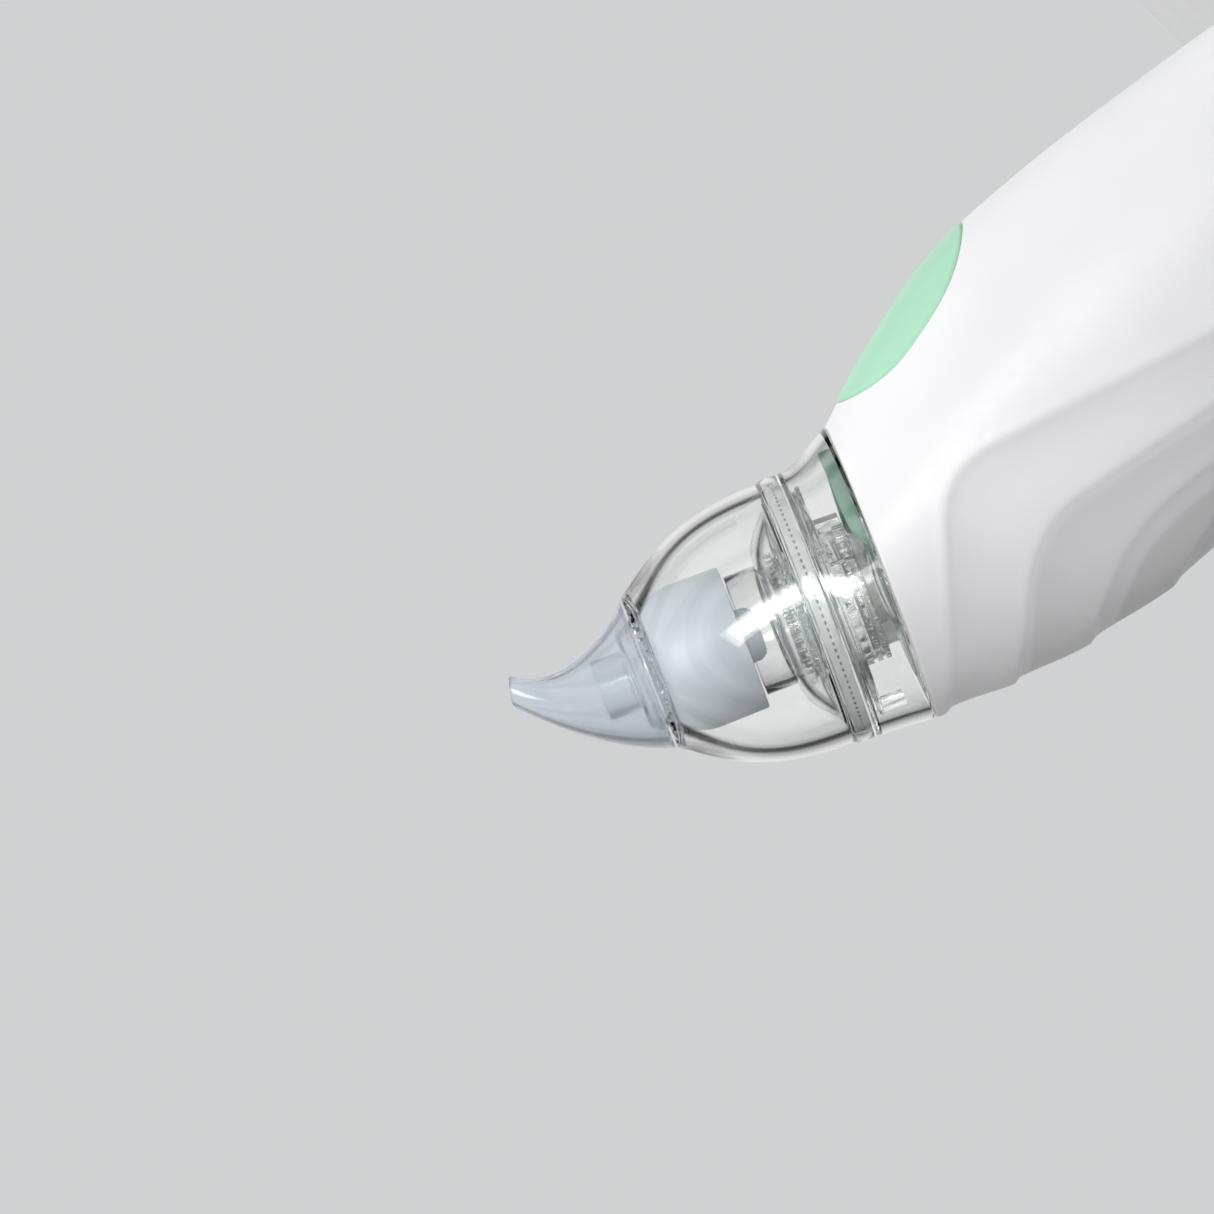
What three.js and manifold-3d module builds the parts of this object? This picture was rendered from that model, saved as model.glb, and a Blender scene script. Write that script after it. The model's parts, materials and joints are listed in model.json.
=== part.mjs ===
// Hand-held electric nasal aspirator, standing upright on its foot.
// Millimetres, +Z up, front (button side) towards -Y, origin at the centre of the foot's underside.
// The clear head leans forward from the handle; its pieces are built in a frame of their own,
// with z along the head's axis and its origin at the middle of the cup's rear ring.
import * as THREE from 'three';
import { mergeVertices } from 'three/addons/utils/BufferGeometryUtils.js';
import Module from 'manifold-3d';

const wasm = await Module();
wasm.setup();

// ---------------------------------------------------------------- driving dimensions
const GAP = 0.3; // air between pieces that rest on each other

// handle outline in the middle plane, as [y, z] points from the base to the neck
const FRONT_LINE = [[-18.6, 5.3], [-22.2, 22], [-26.2, 46], [-29.0, 68], [-29.6, 84], [-26.6, 100],
  [-22.83, 112.25]];
const BACK_LINE = [[18.6, 5.3], [23.0, 24], [27.8, 48], [30.2, 72], [29.6, 92], [25.0, 112], [17.4, 130.1]];
// half width of the handle and squareness of its section, at the base, low, middle, high and at the neck
const HALF_WIDTHS = [15.8, 20.2, 22.8, 23.2, 21.9];
const SECTION_POWERS = [2.2, 2.3, 2.35, 2.25, 2.05];
const WALL = 2.4;

// grip layers on both flanks: [corner y, corner z, lean of the lower edge, slope of the upper edge]
const GRIP_EDGES = [
  [-7.0, 105.7, 0.32, 42],
  [7.6, 102.1, 0.2, 48],
  [18.2, 94.2, 0.12, 57],
  [25.4, 84.0, 0.06, 66],
];
const GRIP_STEP = 0.85;
const GRIP_SOFTNESS = 1.6;
const GRIP_CORNER = 7;
const GRIP_FADE = [14, 44]; // the layers sink into the plain base between these heights

// head frame
const HEAD_LEAN = THREE.MathUtils.degToRad(24);
const HEAD_Y = -5.95;
const HEAD_Z = 132.35;

// clear cup: a bullet shape from the rear ring to the tip ring
const CUP_R = 19.5;
const CUP_TIP_R = 11.4;
const CUP_LENGTH = 24.1;
const CUP_WALL = 1.5;
const SKIRT_R = 19.9;
const SKIRT_LOW = -2.4;

// soft nozzle, as [y, z] control points of its front and back lines in the head frame
const NOZZLE_FRONT = [[-11.2, 24.4], [-6.2, 29.5], [-2.2, 37.0], [-6.9, 42.9]];
const NOZZLE_BACK = [[11.2, 24.4], [9.6, 30.5], [3.6, 38.5], [-2.6, 43.9]];
const NOZZLE_WALL = 1.5;
const NOZZLE_LIP = 0.75;

// rear collar, from the cup's skirt to the neck of the handle
const COLLAR_TOP = -2.7;
const COLLAR_BASE = -11.2;
const NECK_SHIFT = -1.6;
const NECK_R = 22.0;
const COLLAR_WALL = 1.6;
const SOCKET_R = 10.15;
const SOCKET_WALL = 0.85;
const SOCKET_LOW = -8.9;
const PORT_R = 8.4;
const SEAL_R = 9.0;

// thumb button
const BUTTON_Z = 93.4;
const BUTTON_HALF = [15.2, 15.0];
const BUTTON_POWER = 2.5;
const BUTTON_BACK_Y = -20.8;
const BUTTON_SLOT = 0.4;

// pump and drive, upright in the handle
const MOTOR = { y: -2.6, r: 12.2, low: 58.0, high: 88.8 };
const CRANK_THROW = 0.9;
const CRANK_Z = 95.5;

// rechargeable cell, standard 18500 size
const CELL = { y: 1.8, r: 9.15, low: 8.2, high: 56.2 };

// charging port at the back
const PORT_Z = 24.0;
const PORT_HALF = [6.7, 3.7];
const PORT_POWER = 3;
const PORT_COVER = 1.4;
const PORT_SLOT = 0.6;

// ---------------------------------------------------------------- materials
const plastic = (color, roughness = 0.4, extra = {}) =>
  new THREE.MeshStandardMaterial({ color, roughness, metalness: 0, ...extra });
const metal = (color, roughness = 0.35) =>
  new THREE.MeshStandardMaterial({ color, roughness, metalness: 1 });
const felt = () => plastic(0xf2f2f0, 0.9);
const clear = () => plastic(0xeef3f4, 0.05, { transparent: true, opacity: 0.35 });
const whitePlastic = () => plastic(0xf6f6f7, 0.32);
const mintPlastic = () => plastic(0xa8e3c2, 0.38);
const silicone = () => plastic(0xbac4d2, 0.42);
const blackRubber = () => plastic(0x24262a, 0.7);
const steel = () => metal(0xc4c7ca);
const brass = () => metal(0xc9a55a);

// ---------------------------------------------------------------- geometry helpers
/** Flips the triangles of an indexed geometry when they face inwards. */
function faceOut(geometry) {
  const p = geometry.attributes.position;
  const index = geometry.index.array;
  const [a, b, c] = [new THREE.Vector3(), new THREE.Vector3(), new THREE.Vector3()];
  let volume = 0;
  for (let i = 0; i < index.length; i += 3) {
    a.fromBufferAttribute(p, index[i]);
    b.fromBufferAttribute(p, index[i + 1]);
    c.fromBufferAttribute(p, index[i + 2]);
    volume += a.dot(b.cross(c));
  }
  if (volume < 0) {
    for (let i = 0; i < index.length; i += 3) {
      [index[i], index[i + 1]] = [index[i + 1], index[i]];
    }
  }
  return geometry;
}

/** Leaves only merged positions, so that the mesh is one closed skin. */
function weld(geometry) {
  const g = geometry.clone();
  for (const name of Object.keys(g.attributes)) {
    if (name !== 'position') g.deleteAttribute(name);
  }
  return faceOut(mergeVertices(g, 1e-4));
}

/** A solid for cutting and joining. */
function solid(geometry) {
  const g = weld(geometry);
  const vertProperties = new Float32Array(g.attributes.position.array);
  const triVerts = new Uint32Array(g.index.array);
  return new wasm.Manifold(new wasm.Mesh({ numProp: 3, vertProperties, triVerts }));
}

/** Turns a solid back into a geometry. */
function skinOf(body) {
  const m = body.getMesh();
  const g = new THREE.BufferGeometry();
  g.setAttribute('position', new THREE.BufferAttribute(new Float32Array(m.vertProperties), 3));
  g.setIndex(new THREE.BufferAttribute(new Uint32Array(m.triVerts), 1));
  return g;
}

const cut = (base, ...tools) => skinOf(tools.reduce((s, t) => s.subtract(solid(t)), solid(base)));
const join = (base, ...others) => skinOf(others.reduce((s, t) => s.add(solid(t)), solid(base)));

/** Skin over rings of equal, even length; the ends are closed by strips, or the last meets the first. */
function loft(rings, looped = false) {
  const count = rings[0].length;
  const positions = rings.flat().flatMap((p) => [p.x, p.y, p.z]);
  const index = [];
  const quad = (a, b, c, d) => index.push(a, b, c, a, c, d);
  const last = looped ? rings.length : rings.length - 1;
  for (let i = 0; i < last; i++) {
    const low = i * count;
    const high = ((i + 1) % rings.length) * count;
    for (let j = 0; j < count; j++) {
      const k = (j + 1) % count;
      quad(low + j, low + k, high + k, high + j);
    }
  }
  if (!looped) {
    const top = (rings.length - 1) * count;
    for (let j = 0; j < count / 2 - 1; j++) {
      quad(j, count - 1 - j, count - 2 - j, j + 1);
      quad(top + j, top + j + 1, top + count - 2 - j, top + count - 1 - j);
    }
  }
  const g = new THREE.BufferGeometry();
  g.setAttribute('position', new THREE.BufferAttribute(new Float32Array(positions), 3));
  g.setIndex(index);
  return faceOut(g);
}

/** Body turned about z from a closed [r, z] profile, or one that starts and ends on the axis. */
function turned(profile, segments = 40) {
  const points = profile.map(([r, z]) => new THREE.Vector2(Math.max(r, 0), z));
  if (profile[0][0] > 0) points.push(points[0].clone());
  return new THREE.LatheGeometry(points, segments).rotateX(Math.PI / 2);
}

/** Upright cylinder between two heights. */
function rod(r, low, high, y = 0, x = 0, segments = 24) {
  const g = new THREE.CylinderGeometry(r, r, high - low, segments).rotateX(Math.PI / 2);
  return g.translate(x, y, (low + high) / 2);
}

/** Cylinder along y between two places. */
function rodAlongY(r, from, to, z, x = 0, segments = 24) {
  return new THREE.CylinderGeometry(r, r, to - from, segments).translate(x, (from + to) / 2, z);
}

/** Box from its low and high corners. */
function block([x0, y0, z0], [x1, y1, z1]) {
  const g = new THREE.BoxGeometry(x1 - x0, y1 - y0, z1 - z0);
  return g.translate((x0 + x1) / 2, (y0 + y1) / 2, (z0 + z1) / 2);
}

/** Tube or rod of round section along a smooth curve. */
function along(points, r, steps, sides = 10) {
  const path = new THREE.CatmullRomCurve3(points.map((p) => new THREE.Vector3(...p)));
  const section = new THREE.Shape().absarc(0, 0, r, 0, 2 * Math.PI);
  return new THREE.ExtrudeGeometry(section, { steps, curveSegments: sides, extrudePath: path });
}

/** Outline with rounded sides, |x/a|^n + |z/b|^n = 1, as a prism along y. */
function ovalPrism(a, b, n, z, from, to, count = 40) {
  const points = [];
  for (let i = 0; i < count; i++) {
    const angle = (2 * Math.PI * i) / count;
    const c = Math.cos(angle);
    const s = Math.sin(angle);
    const x = a * Math.sign(c) * Math.abs(c) ** (2 / n);
    const y = b * Math.sign(s) * Math.abs(s) ** (2 / n);
    points.push(new THREE.Vector2(x, y));
  }
  const g = new THREE.ExtrudeGeometry(new THREE.Shape(points), { depth: to - from, bevelEnabled: false });
  return g.rotateX(Math.PI / 2).translate(0, to, z);
}

// ---------------------------------------------------------------- handle surface
const toCurve = (line) => new THREE.CatmullRomCurve3(line.map(([y, z]) => new THREE.Vector3(0, y, z)));
const frontCurve = toCurve(FRONT_LINE);
const backCurve = toCurve(BACK_LINE);

const toSpline = (values) => new THREE.SplineCurve(values.map((v, i) => new THREE.Vector2(i, v)));
const widthSpline = toSpline(HALF_WIDTHS);
const powerSpline = toSpline(SECTION_POWERS);

/** Depth of the grip layers at a point of the flank: each layer adds a soft step behind its edge. */
function gripDepth(y, z) {
  let depth = 0;
  for (const [cy, cz, lean, slope] of GRIP_EDGES) {
    const a = THREE.MathUtils.degToRad(slope);
    const behind = (y - cy - lean * (cz - z)) / Math.hypot(1, lean);
    const below = (y - cy) * Math.sin(a) - (z - cz) * Math.cos(a);
    const h = Math.max(GRIP_CORNER - Math.abs(behind - below), 0) / GRIP_CORNER;
    const inside = Math.min(behind, below) - (h * h * GRIP_CORNER) / 4;
    depth += GRIP_STEP * THREE.MathUtils.smoothstep(inside, -GRIP_SOFTNESS / 2, GRIP_SOFTNESS / 2);
  }
  return depth * THREE.MathUtils.smoothstep(z, ...GRIP_FADE);
}

/** One section of the handle at t from 0 (base) to 1 (neck). */
function section(t) {
  const front = frontCurve.getPointAt(t);
  const back = backCurve.getPointAt(t);
  const middle = front.clone().lerp(back, 0.48);
  const toBack = back.clone().sub(front).normalize();
  return {
    middle,
    toBack,
    frontDepth: middle.distanceTo(front),
    backDepth: middle.distanceTo(back),
    halfWidth: widthSpline.getPoint(t).y,
    power: powerSpline.getPoint(t).y,
  };
}

/** Point of a section at an angle from the front (0) by the +X side to the back (pi), set in by a depth. */
function sectionPoint(s, angle, inset, gripped) {
  const c = -Math.cos(angle);
  const w = Math.sin(angle);
  const depth = (c < 0 ? s.frontDepth : s.backDepth) - inset;
  const run = Math.sign(c) * depth * Math.abs(c) ** (2 / s.power);
  const side = (s.halfWidth - inset) * Math.sign(w) * Math.abs(w) ** (2 / s.power);
  const p = s.middle.clone().addScaledVector(s.toBack, run);
  if (gripped) {
    const grip = gripDepth(p.y, p.z) * (0.4 + 0.6 * Math.abs(w));
    p.addScaledVector(s.toBack, -grip * Math.max(c, 0));
    return new THREE.Vector3(side - Math.sign(w) * grip * Math.abs(w), p.y, p.z);
  }
  return new THREE.Vector3(side, p.y, p.z);
}

/** Handle shell of one side (+1 or -1): outer and inner skins from the base to the neck. */
function shellSide(side, rows = 30, columns = 14) {
  const rings = [];
  for (let i = 0; i <= rows; i++) {
    const s = section(i / rows);
    const angles = Array.from({ length: columns + 1 }, (_, j) => (Math.PI * j) / columns);
    const outer = angles.map((a) => sectionPoint(s, a, 0, true));
    const inner = angles.map((a) => sectionPoint(s, a, WALL, true)).reverse();
    const ring = [...outer, ...inner];
    for (const p of ring) p.x = side * Math.max(p.x, GAP / 2);
    rings.push(ring);
  }
  return loft(rings);
}

/** y of the handle's front (-1) or back (+1) face at a given x and z, found by halving the span of t. */
function faceAt(x, z, side) {
  let [low, high] = [0, 1];
  let y = 0;
  for (let i = 0; i < 30; i++) {
    const t = (low + high) / 2;
    const s = section(t);
    const across = Math.min(Math.abs(x) / s.halfWidth, 1);
    const depth = side < 0 ? s.frontDepth : s.backDepth - 0.4 * gripDepth(y, z);
    const run = side * depth * (1 - across ** s.power) ** (1 / s.power);
    const p = s.middle.clone().addScaledVector(s.toBack, run);
    y = p.y;
    if (p.z < z) low = t;
    else high = t;
  }
  return y;
}

// ---------------------------------------------------------------- the object
const aspirator = new THREE.Group();
const head = new THREE.Group();
head.position.set(0, HEAD_Y, HEAD_Z);
head.rotation.x = HEAD_LEAN;
aspirator.add(head);

/** Adds a named piece to the handle or to the head. */
function piece(name, geometry, material, group = aspirator) {
  const mesh = new THREE.Mesh(weld(geometry), material);
  mesh.name = name;
  group.add(mesh);
}

/** Place of a point of the head frame in the handle's frame. */
function fromHead(y, z) {
  const [c, s] = [Math.cos(HEAD_LEAN), Math.sin(HEAD_LEAN)];
  return [0, HEAD_Y + y * c - z * s, HEAD_Z + y * s + z * c];
}

// ---- head: nozzle, cup, stopper, separator, gasket, collar
const bezier = (p) => new THREE.CubicBezierCurve(...p.map(([a, b]) => new THREE.Vector2(a, b)));

function nozzleTip(rows = 9, sides = 22) {
  const front = bezier(NOZZLE_FRONT);
  const back = bezier(NOZZLE_BACK);
  const ringAt = (t, inset, lift) => {
    const f = front.getPoint(t);
    const b = back.getPoint(t);
    const r = f.distanceTo(b) / 2 - inset;
    const across = b.clone().sub(f).normalize();
    const mid = f.clone().add(b).multiplyScalar(0.5);
    return Array.from({ length: sides }, (_, j) => {
      const a = (2 * Math.PI * (j + 0.5)) / sides;
      const d = r * Math.cos(a);
      return new THREE.Vector3(r * Math.sin(a), mid.x + across.x * d, mid.y + across.y * d + lift);
    });
  };
  const steps = Array.from({ length: rows + 1 }, (_, i) => i / rows);
  const outer = steps.map((t) => ringAt(t, 0, 0));
  const inner = steps.map((t) => ringAt(t, NOZZLE_WALL + (NOZZLE_LIP - NOZZLE_WALL) * t, 0)).reverse();
  return loft([...outer, ...inner], true);
}

function collectionCup() {
  const profileOf = (inset, count) => {
    const tip = [CUP_TIP_R - inset, CUP_LENGTH - inset];
    const line = bezier([[CUP_R - inset, 0.6], [CUP_R - inset, 10], [17.9 - inset, 15.4], tip]);
    return line.getPoints(count).map((p) => [p.x, p.y]);
  };
  const outer = profileOf(0, 7);
  const inner = profileOf(CUP_WALL, 6).reverse();
  const neckR = CUP_TIP_R - NOZZLE_WALL - GAP - 1.3;
  const up = (z) => CUP_LENGTH + z;
  const neck = [[neckR, up(0)], [neckR, up(1.1)], [neckR - 1, up(2.3)]];
  const spout = [[4.4, up(2.5)], [4.4, up(7.1)], [3.5, up(7.1)], [3.5, up(1.7)]];
  const bore = [[6.3, up(1.3)], [7.0, up(0.4)], [7.0, up(-CUP_WALL)]];
  const skirt = [[SKIRT_R - 1.1, 0.2], [SKIRT_R - 1.1, SKIRT_LOW], [SKIRT_R, SKIRT_LOW], [SKIRT_R, 0.3]];
  return turned([...outer, ...neck, ...spout, ...bore, ...inner, ...skirt], 36);
}

function backflowStopper() {
  const dome = bezier([[10.75, 17.6], [10.75, 20.0], [10.3, 21.4], [8.9, 22.2]]);
  const front = dome.getPoints(4).map((p) => [p.x, p.y]);
  const bore = [[1.6, 22.4], [1.6, 6.9]];
  const nub = [[4.0, 6.9], [5.0, 7.8], [5.0, 9.8]];
  return turned([...nub, [10.6, 9.8], ...front, ...bore], 28);
}

function separator() {
  const dome = bezier([[16.7, 0.9], [14.6, 1.3], [13.2, 4.9], [8.9, 4.95]]);
  const hollow = bezier([[7.9, 3.95], [12.2, 3.9], [13.6, 0.5], [15.6, -0.3]]);
  const outside = dome.getPoints(6).map((p) => [p.x, p.y]);
  const inside = hollow.getPoints(6).map((p) => [p.x, p.y]);
  const stem = [[8.9, 9.5], [7.9, 9.5]];
  const seat = [[15.6, -0.8], [10.2, -0.8], [10.2, 0.9], [9.8, 3.2], [8.3, 3.2], [8.3, -0.9], [6.6, -0.9]];
  const shape = turned([...outside, ...stem, ...inside, ...seat, [6.6, -2.4], [16.7, -2.4]], 32);
  const spokes = [0, 1, 2].map((i) => {
    const bar = block([-8.0, -0.7, -1.9], [8.0, 0.7, -1.0]);
    return bar.rotateZ((i * Math.PI) / 3);
  });
  return join(shape, ...spokes);
}

function rearCollar() {
  const sides = 36;
  const wall = (inset) => {
    const level = (z, r, y) =>
      Array.from({ length: sides }, (_, j) => {
        const a = (2 * Math.PI * (j + 0.5)) / sides;
        return new THREE.Vector3((r - inset) * Math.sin(a), y + (r - inset) * Math.cos(a), z);
      });
    const flare = [0, 0.25, 0.55, 0.8, 1];
    return flare.map((f) => {
      const lean = f * f * (1.6 - 0.6 * f);
      const z = COLLAR_TOP + (COLLAR_BASE - COLLAR_TOP) * f;
      return level(z, SKIRT_R + (NECK_R - SKIRT_R) * lean, NECK_SHIFT * lean);
    });
  };
  const shell = loft([...wall(0), ...wall(COLLAR_WALL).reverse()], true);
  const bore = SOCKET_R - SOCKET_WALL;
  const rim = SKIRT_R - 0.5;
  const flange = turned([[SOCKET_R, -4.5], [rim, -4.5], [rim, COLLAR_TOP], [12.6, COLLAR_TOP], [bore, -3.1],
    [bore, SOCKET_LOW], [SOCKET_R, SOCKET_LOW]], sides);
  return join(shell, flange);
}

piece('nozzle_tip', nozzleTip(), silicone(), head);
piece('collection_cup', collectionCup(), clear(), head);
piece('backflow_stopper', backflowStopper(), silicone(), head);
piece('cup_separator', separator(), clear(), head);
piece('cup_gasket', turned([[17.0, -2.3], [18.5, -2.3], [18.5, -0.2], [17.0, -0.2]], 36), silicone(), head);
piece('rear_collar', rearCollar(), clear(), head);
const valveStem = [[0, -4.0], [1.0, -4.0], [1.0, -3.3], [5.6, -2.9], [5.6, -2.7], [0, -2.7]];
piece('umbrella_valve', turned(valveStem, 28), silicone(), head);

// ---- neck of the handle: plate, mint ring, inlet port and its seal
const neckLift = (geometry) => geometry.translate(0, NECK_SHIFT, 0);
const neckPlate = cut(neckLift(rod(19.2, -13.6, -11.5, 0, 0, 36)), rod(6.9, -14, -11, 0, 0, 32));
piece('neck_plate', neckPlate, whitePlastic(), head);

/** Ring with a raised front part: each level is a circle, its height follows how far forward a point is. */
function neckRing(sides = 36) {
  const level = (r, share) =>
    Array.from({ length: sides }, (_, j) => {
      const a = (2 * Math.PI * (j + 0.5)) / sides;
      const y = NECK_SHIFT + r * Math.cos(a);
      const u = Math.min(Math.max((-y - 4.5) / 5, 0), 1);
      const thickness = 0.3 + 1.6 * u * u * (3 - 2 * u);
      return new THREE.Vector3(r * Math.sin(a), y, COLLAR_BASE + share * thickness);
    });
  return loft([level(15.2, 0), level(18.9, 0), level(18.9, 1), level(15.2, 1)], true);
}

piece('neck_ring', neckRing(), mintPlastic(), head);
const portProfile = [
  [3.0, -19.5],
  [4.2, -19.5],
  [4.2, -16.0],
  [6.6, -15.4],
  [6.6, -11.2],
  [PORT_R, -11.2],
  [PORT_R, -8.9],
  [PORT_R - 0.8, -8.9],
  [PORT_R - 0.8, -7.6],
  [PORT_R, -7.6],
  [PORT_R, -6.6],
  [5.6, -6.6],
  [5.6, -14.6],
  [3.0, -15.4],
];
piece('inlet_port', turned(portProfile, 28), clear(), head);
piece('port_seal', turned([[7.9, -8.6], [SEAL_R, -8.6], [SEAL_R, -7.9], [7.9, -7.9]], 28), silicone(), head);
piece('moisture_filter', turned([[0, -10.2], [5.3, -10.2], [5.3, -8.6], [0, -8.6]], 28), felt(), head);

// ---- handle shells, with the button's opening and the charging port cut through both
const buttonCutter = () => {
  const [a, b] = BUTTON_HALF.map((h) => h + BUTTON_SLOT);
  return ovalPrism(a, b, BUTTON_POWER, BUTTON_Z, -36, -18.5);
};
const portCutter = () => {
  const [a, b] = PORT_HALF.map((h) => h + PORT_SLOT);
  return ovalPrism(a, b, PORT_POWER, PORT_Z, 16, 32, 24);
};
for (const [name, side] of [['left_shell', -1], ['right_shell', 1]]) {
  piece(name, cut(shellSide(side), buttonCutter(), portCutter()), whitePlastic());
}

/** Oval pad whose face follows the front (-1) or back (+1) of the handle, lifted outwards by a little. */
function facedPad([a, b], power, centreZ, side, lift, backOf, rings = 5, sides = 32) {
  const ring = (f, isBack) =>
    Array.from({ length: sides }, (_, j) => {
      const angle = (2 * Math.PI * (j + 0.5)) / sides;
      const c = Math.cos(angle);
      const s = Math.sin(angle);
      const x = f * a * Math.sign(c) * Math.abs(c) ** (2 / power);
      const z = centreZ + f * b * Math.sign(s) * Math.abs(s) ** (2 / power);
      const y = faceAt(x, z, side) + side * lift;
      return new THREE.Vector3(x, isBack ? backOf(y) : y, z);
    });
  const scales = Array.from({ length: rings }, (_, i) => (i + 0.4) / (rings - 0.6));
  return loft([...scales.map((f) => ring(f, false)), ...scales.reverse().map((f) => ring(f, true))]);
}
const buttonPad = facedPad(BUTTON_HALF, BUTTON_POWER, BUTTON_Z, -1, 0.25, () => BUTTON_BACK_Y);
piece('thumb_button', buttonPad, mintPlastic());

// ---- control board behind the button
const BOARD_Y = -17.2;
const board = block([-10.5, BOARD_Y, 40], [10.5, BOARD_Y + 1.6, 104]);
piece('main_board', board, plastic(0x1e6b45, 0.45));
const SWITCH_HEIGHT = 2.1;
const switchTop = BOARD_Y - GAP - SWITCH_HEIGHT;
const switchBody = block([-3, switchTop + 0.7, BUTTON_Z - 3], [3, BOARD_Y - GAP, BUTTON_Z + 3]);
const switchPin = rodAlongY(1.7, switchTop, switchTop + 1.0, BUTTON_Z, 0, 16);
piece('tact_switch', join(switchBody, switchPin), steel());
const lamp = block([-1.6, BOARD_Y - GAP - 0.8, 62], [1.6, BOARD_Y - GAP, 63.6]);
piece('charge_led', lamp, plastic(0xfff4c8, 0.3));
const chip = block([-3.5, BOARD_Y - GAP - 1.4, 48], [3.5, BOARD_Y - GAP, 55]);
piece('control_chip', chip, plastic(0x1b1c1e, 0.5));

// ---- motor, crank and membrane pump
const motorBody = rod(MOTOR.r, MOTOR.low + 2.2, MOTOR.high, MOTOR.y, 0, 28);
const motorBoss = rod(3.4, MOTOR.high - 0.5, MOTOR.high + 1.4, MOTOR.y);
const motorBore = rod(1.5, MOTOR.high - 4, MOTOR.high + 2, MOTOR.y);
piece('motor_can', cut(join(motorBody, motorBoss), motorBore), steel());
const capTop = MOTOR.low + 1.9;
const capLine = [[0, MOTOR.low], [MOTOR.r - 1.2, MOTOR.low], [MOTOR.r - 0.6, capTop], [0, capTop]];
const endCap = turned(capLine, 32);
piece('motor_end_cap', endCap.translate(0, MOTOR.y, 0), plastic(0xe8e2d2, 0.5));
const shaftHigh = CRANK_Z + 4.0;
piece('motor_shaft', rod(1.1, MOTOR.high - 3.2, shaftHigh, MOTOR.y, 0, 20), steel());
const crankDisc = rod(4.0, CRANK_Z - 2.5, CRANK_Z + 2.5, MOTOR.y, CRANK_THROW, 32);
piece('crank_disc', cut(crankDisc, rod(1.4, CRANK_Z - 3, CRANK_Z + 3, MOTOR.y, 0, 20)), brass());

const ROD_BIG_R = 8.4;
const rodEye = rod(ROD_BIG_R, CRANK_Z - 1.8, CRANK_Z + 1.8, MOTOR.y, 0, 36);
const rodArm = block([-2.2, MOTOR.y + 7.5, CRANK_Z - 1.6], [2.2, MOTOR.y + 12.2, CRANK_Z + 1.6]);
const rodBore = rod(6.3, CRANK_Z - 3, CRANK_Z + 3, MOTOR.y, 0, 32);
piece('connecting_rod', cut(join(rodEye, rodArm), rodBore), plastic(0xe9e9e6, 0.4));

// the pump stands behind the crank: case, membrane, valve plate, head with two spouts
const PUMP_FRONT = MOTOR.y - 10.8;
const PUMP_BACK = MOTOR.y + 14.6;
const caseLow = MOTOR.high + 1.7;
const caseOuter = block([-11, PUMP_FRONT, caseLow], [11, PUMP_BACK, CRANK_Z + 7.5]);
const caseRoom = block([-9.6, PUMP_FRONT + 1.4, caseLow + 1.4], [9.6, PUMP_BACK - 1.6, CRANK_Z + 9]);
const caseHole = rod(3.7, caseLow - 1, caseLow + 2, MOTOR.y);
const caseWindow = rodAlongY(5.4, PUMP_BACK - 3, PUMP_BACK + 1, CRANK_Z);
piece('pump_case', cut(caseOuter, caseRoom, caseHole, caseWindow), plastic(0x33363a, 0.45));
const coverPlate = block([-11, PUMP_FRONT, CRANK_Z + 7.8], [11, PUMP_BACK, CRANK_Z + 9.0]);
piece('pump_cover', coverPlate, plastic(0x33363a, 0.45));
const membraneFront = [[0, 0], [4.2, 0], [5.0, 1.0], [9.8, 1.0]];
const membraneLine = [...membraneFront, [9.8, 2.0], [4.4, 2.0], [3.6, 1.2], [0, 1.2]];
const membrane = turned(membraneLine, 32);
const membraneY = PUMP_BACK + GAP - 1.0;
piece('pump_membrane', membrane.rotateX(-Math.PI / 2).translate(0, membraneY, CRANK_Z), blackRubber());
const plateY = PUMP_BACK + GAP + 1.3;
const platePorts = [-3, 3].map((x) => rodAlongY(1.0, plateY - 1, plateY + 3, CRANK_Z, x, 12));
const plateBlock = block([-9.5, plateY, CRANK_Z - 7.3], [9.5, plateY + 1.6, CRANK_Z + 7.3]);
piece('valve_plate', cut(plateBlock, ...platePorts), plastic(0xd9d9d6, 0.4));
const headY = plateY + 1.6 + GAP;
const HEAD_DEPTH = 3.4;
const pumpHeadBlock = block([-9.5, headY, CRANK_Z - 7.3], [9.5, headY + HEAD_DEPTH, CRANK_Z + 7.3]);
const spoutY = headY + HEAD_DEPTH / 2;
const spouts = [-4.5, 4.5].map((x) => rod(1.7, CRANK_Z + 7, CRANK_Z + 11.5, spoutY, x, 16));
const spoutBores = [-4.5, 4.5].map((x) => rod(0.9, CRANK_Z + 2, CRANK_Z + 12, spoutY, x, 12));
piece('pump_head', cut(join(pumpHeadBlock, ...spouts), ...spoutBores), plastic(0x33363a, 0.45));

/** Small cap screw along y, its head towards the back. */
function capScrew(x, y, z, length) {
  const shank = rodAlongY(0.9, y - length, y, z, x, 12);
  const cap = rodAlongY(1.6, y, y + 1.0, z, x, 16);
  return cut(join(shank, cap), block([x - 1.1, y + 0.6, z - 0.25], [x + 1.1, y + 2, z + 0.25]));
}
const screwPlaces = [[-7.6, -5.4], [7.6, -5.4], [-7.6, 5.4], [7.6, 5.4]];
screwPlaces.forEach(([x, z], i) => {
  piece(`pump_screw_${i + 1}`, capScrew(x, headY + HEAD_DEPTH + GAP, CRANK_Z + z, 0.25), steel());
});

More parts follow.
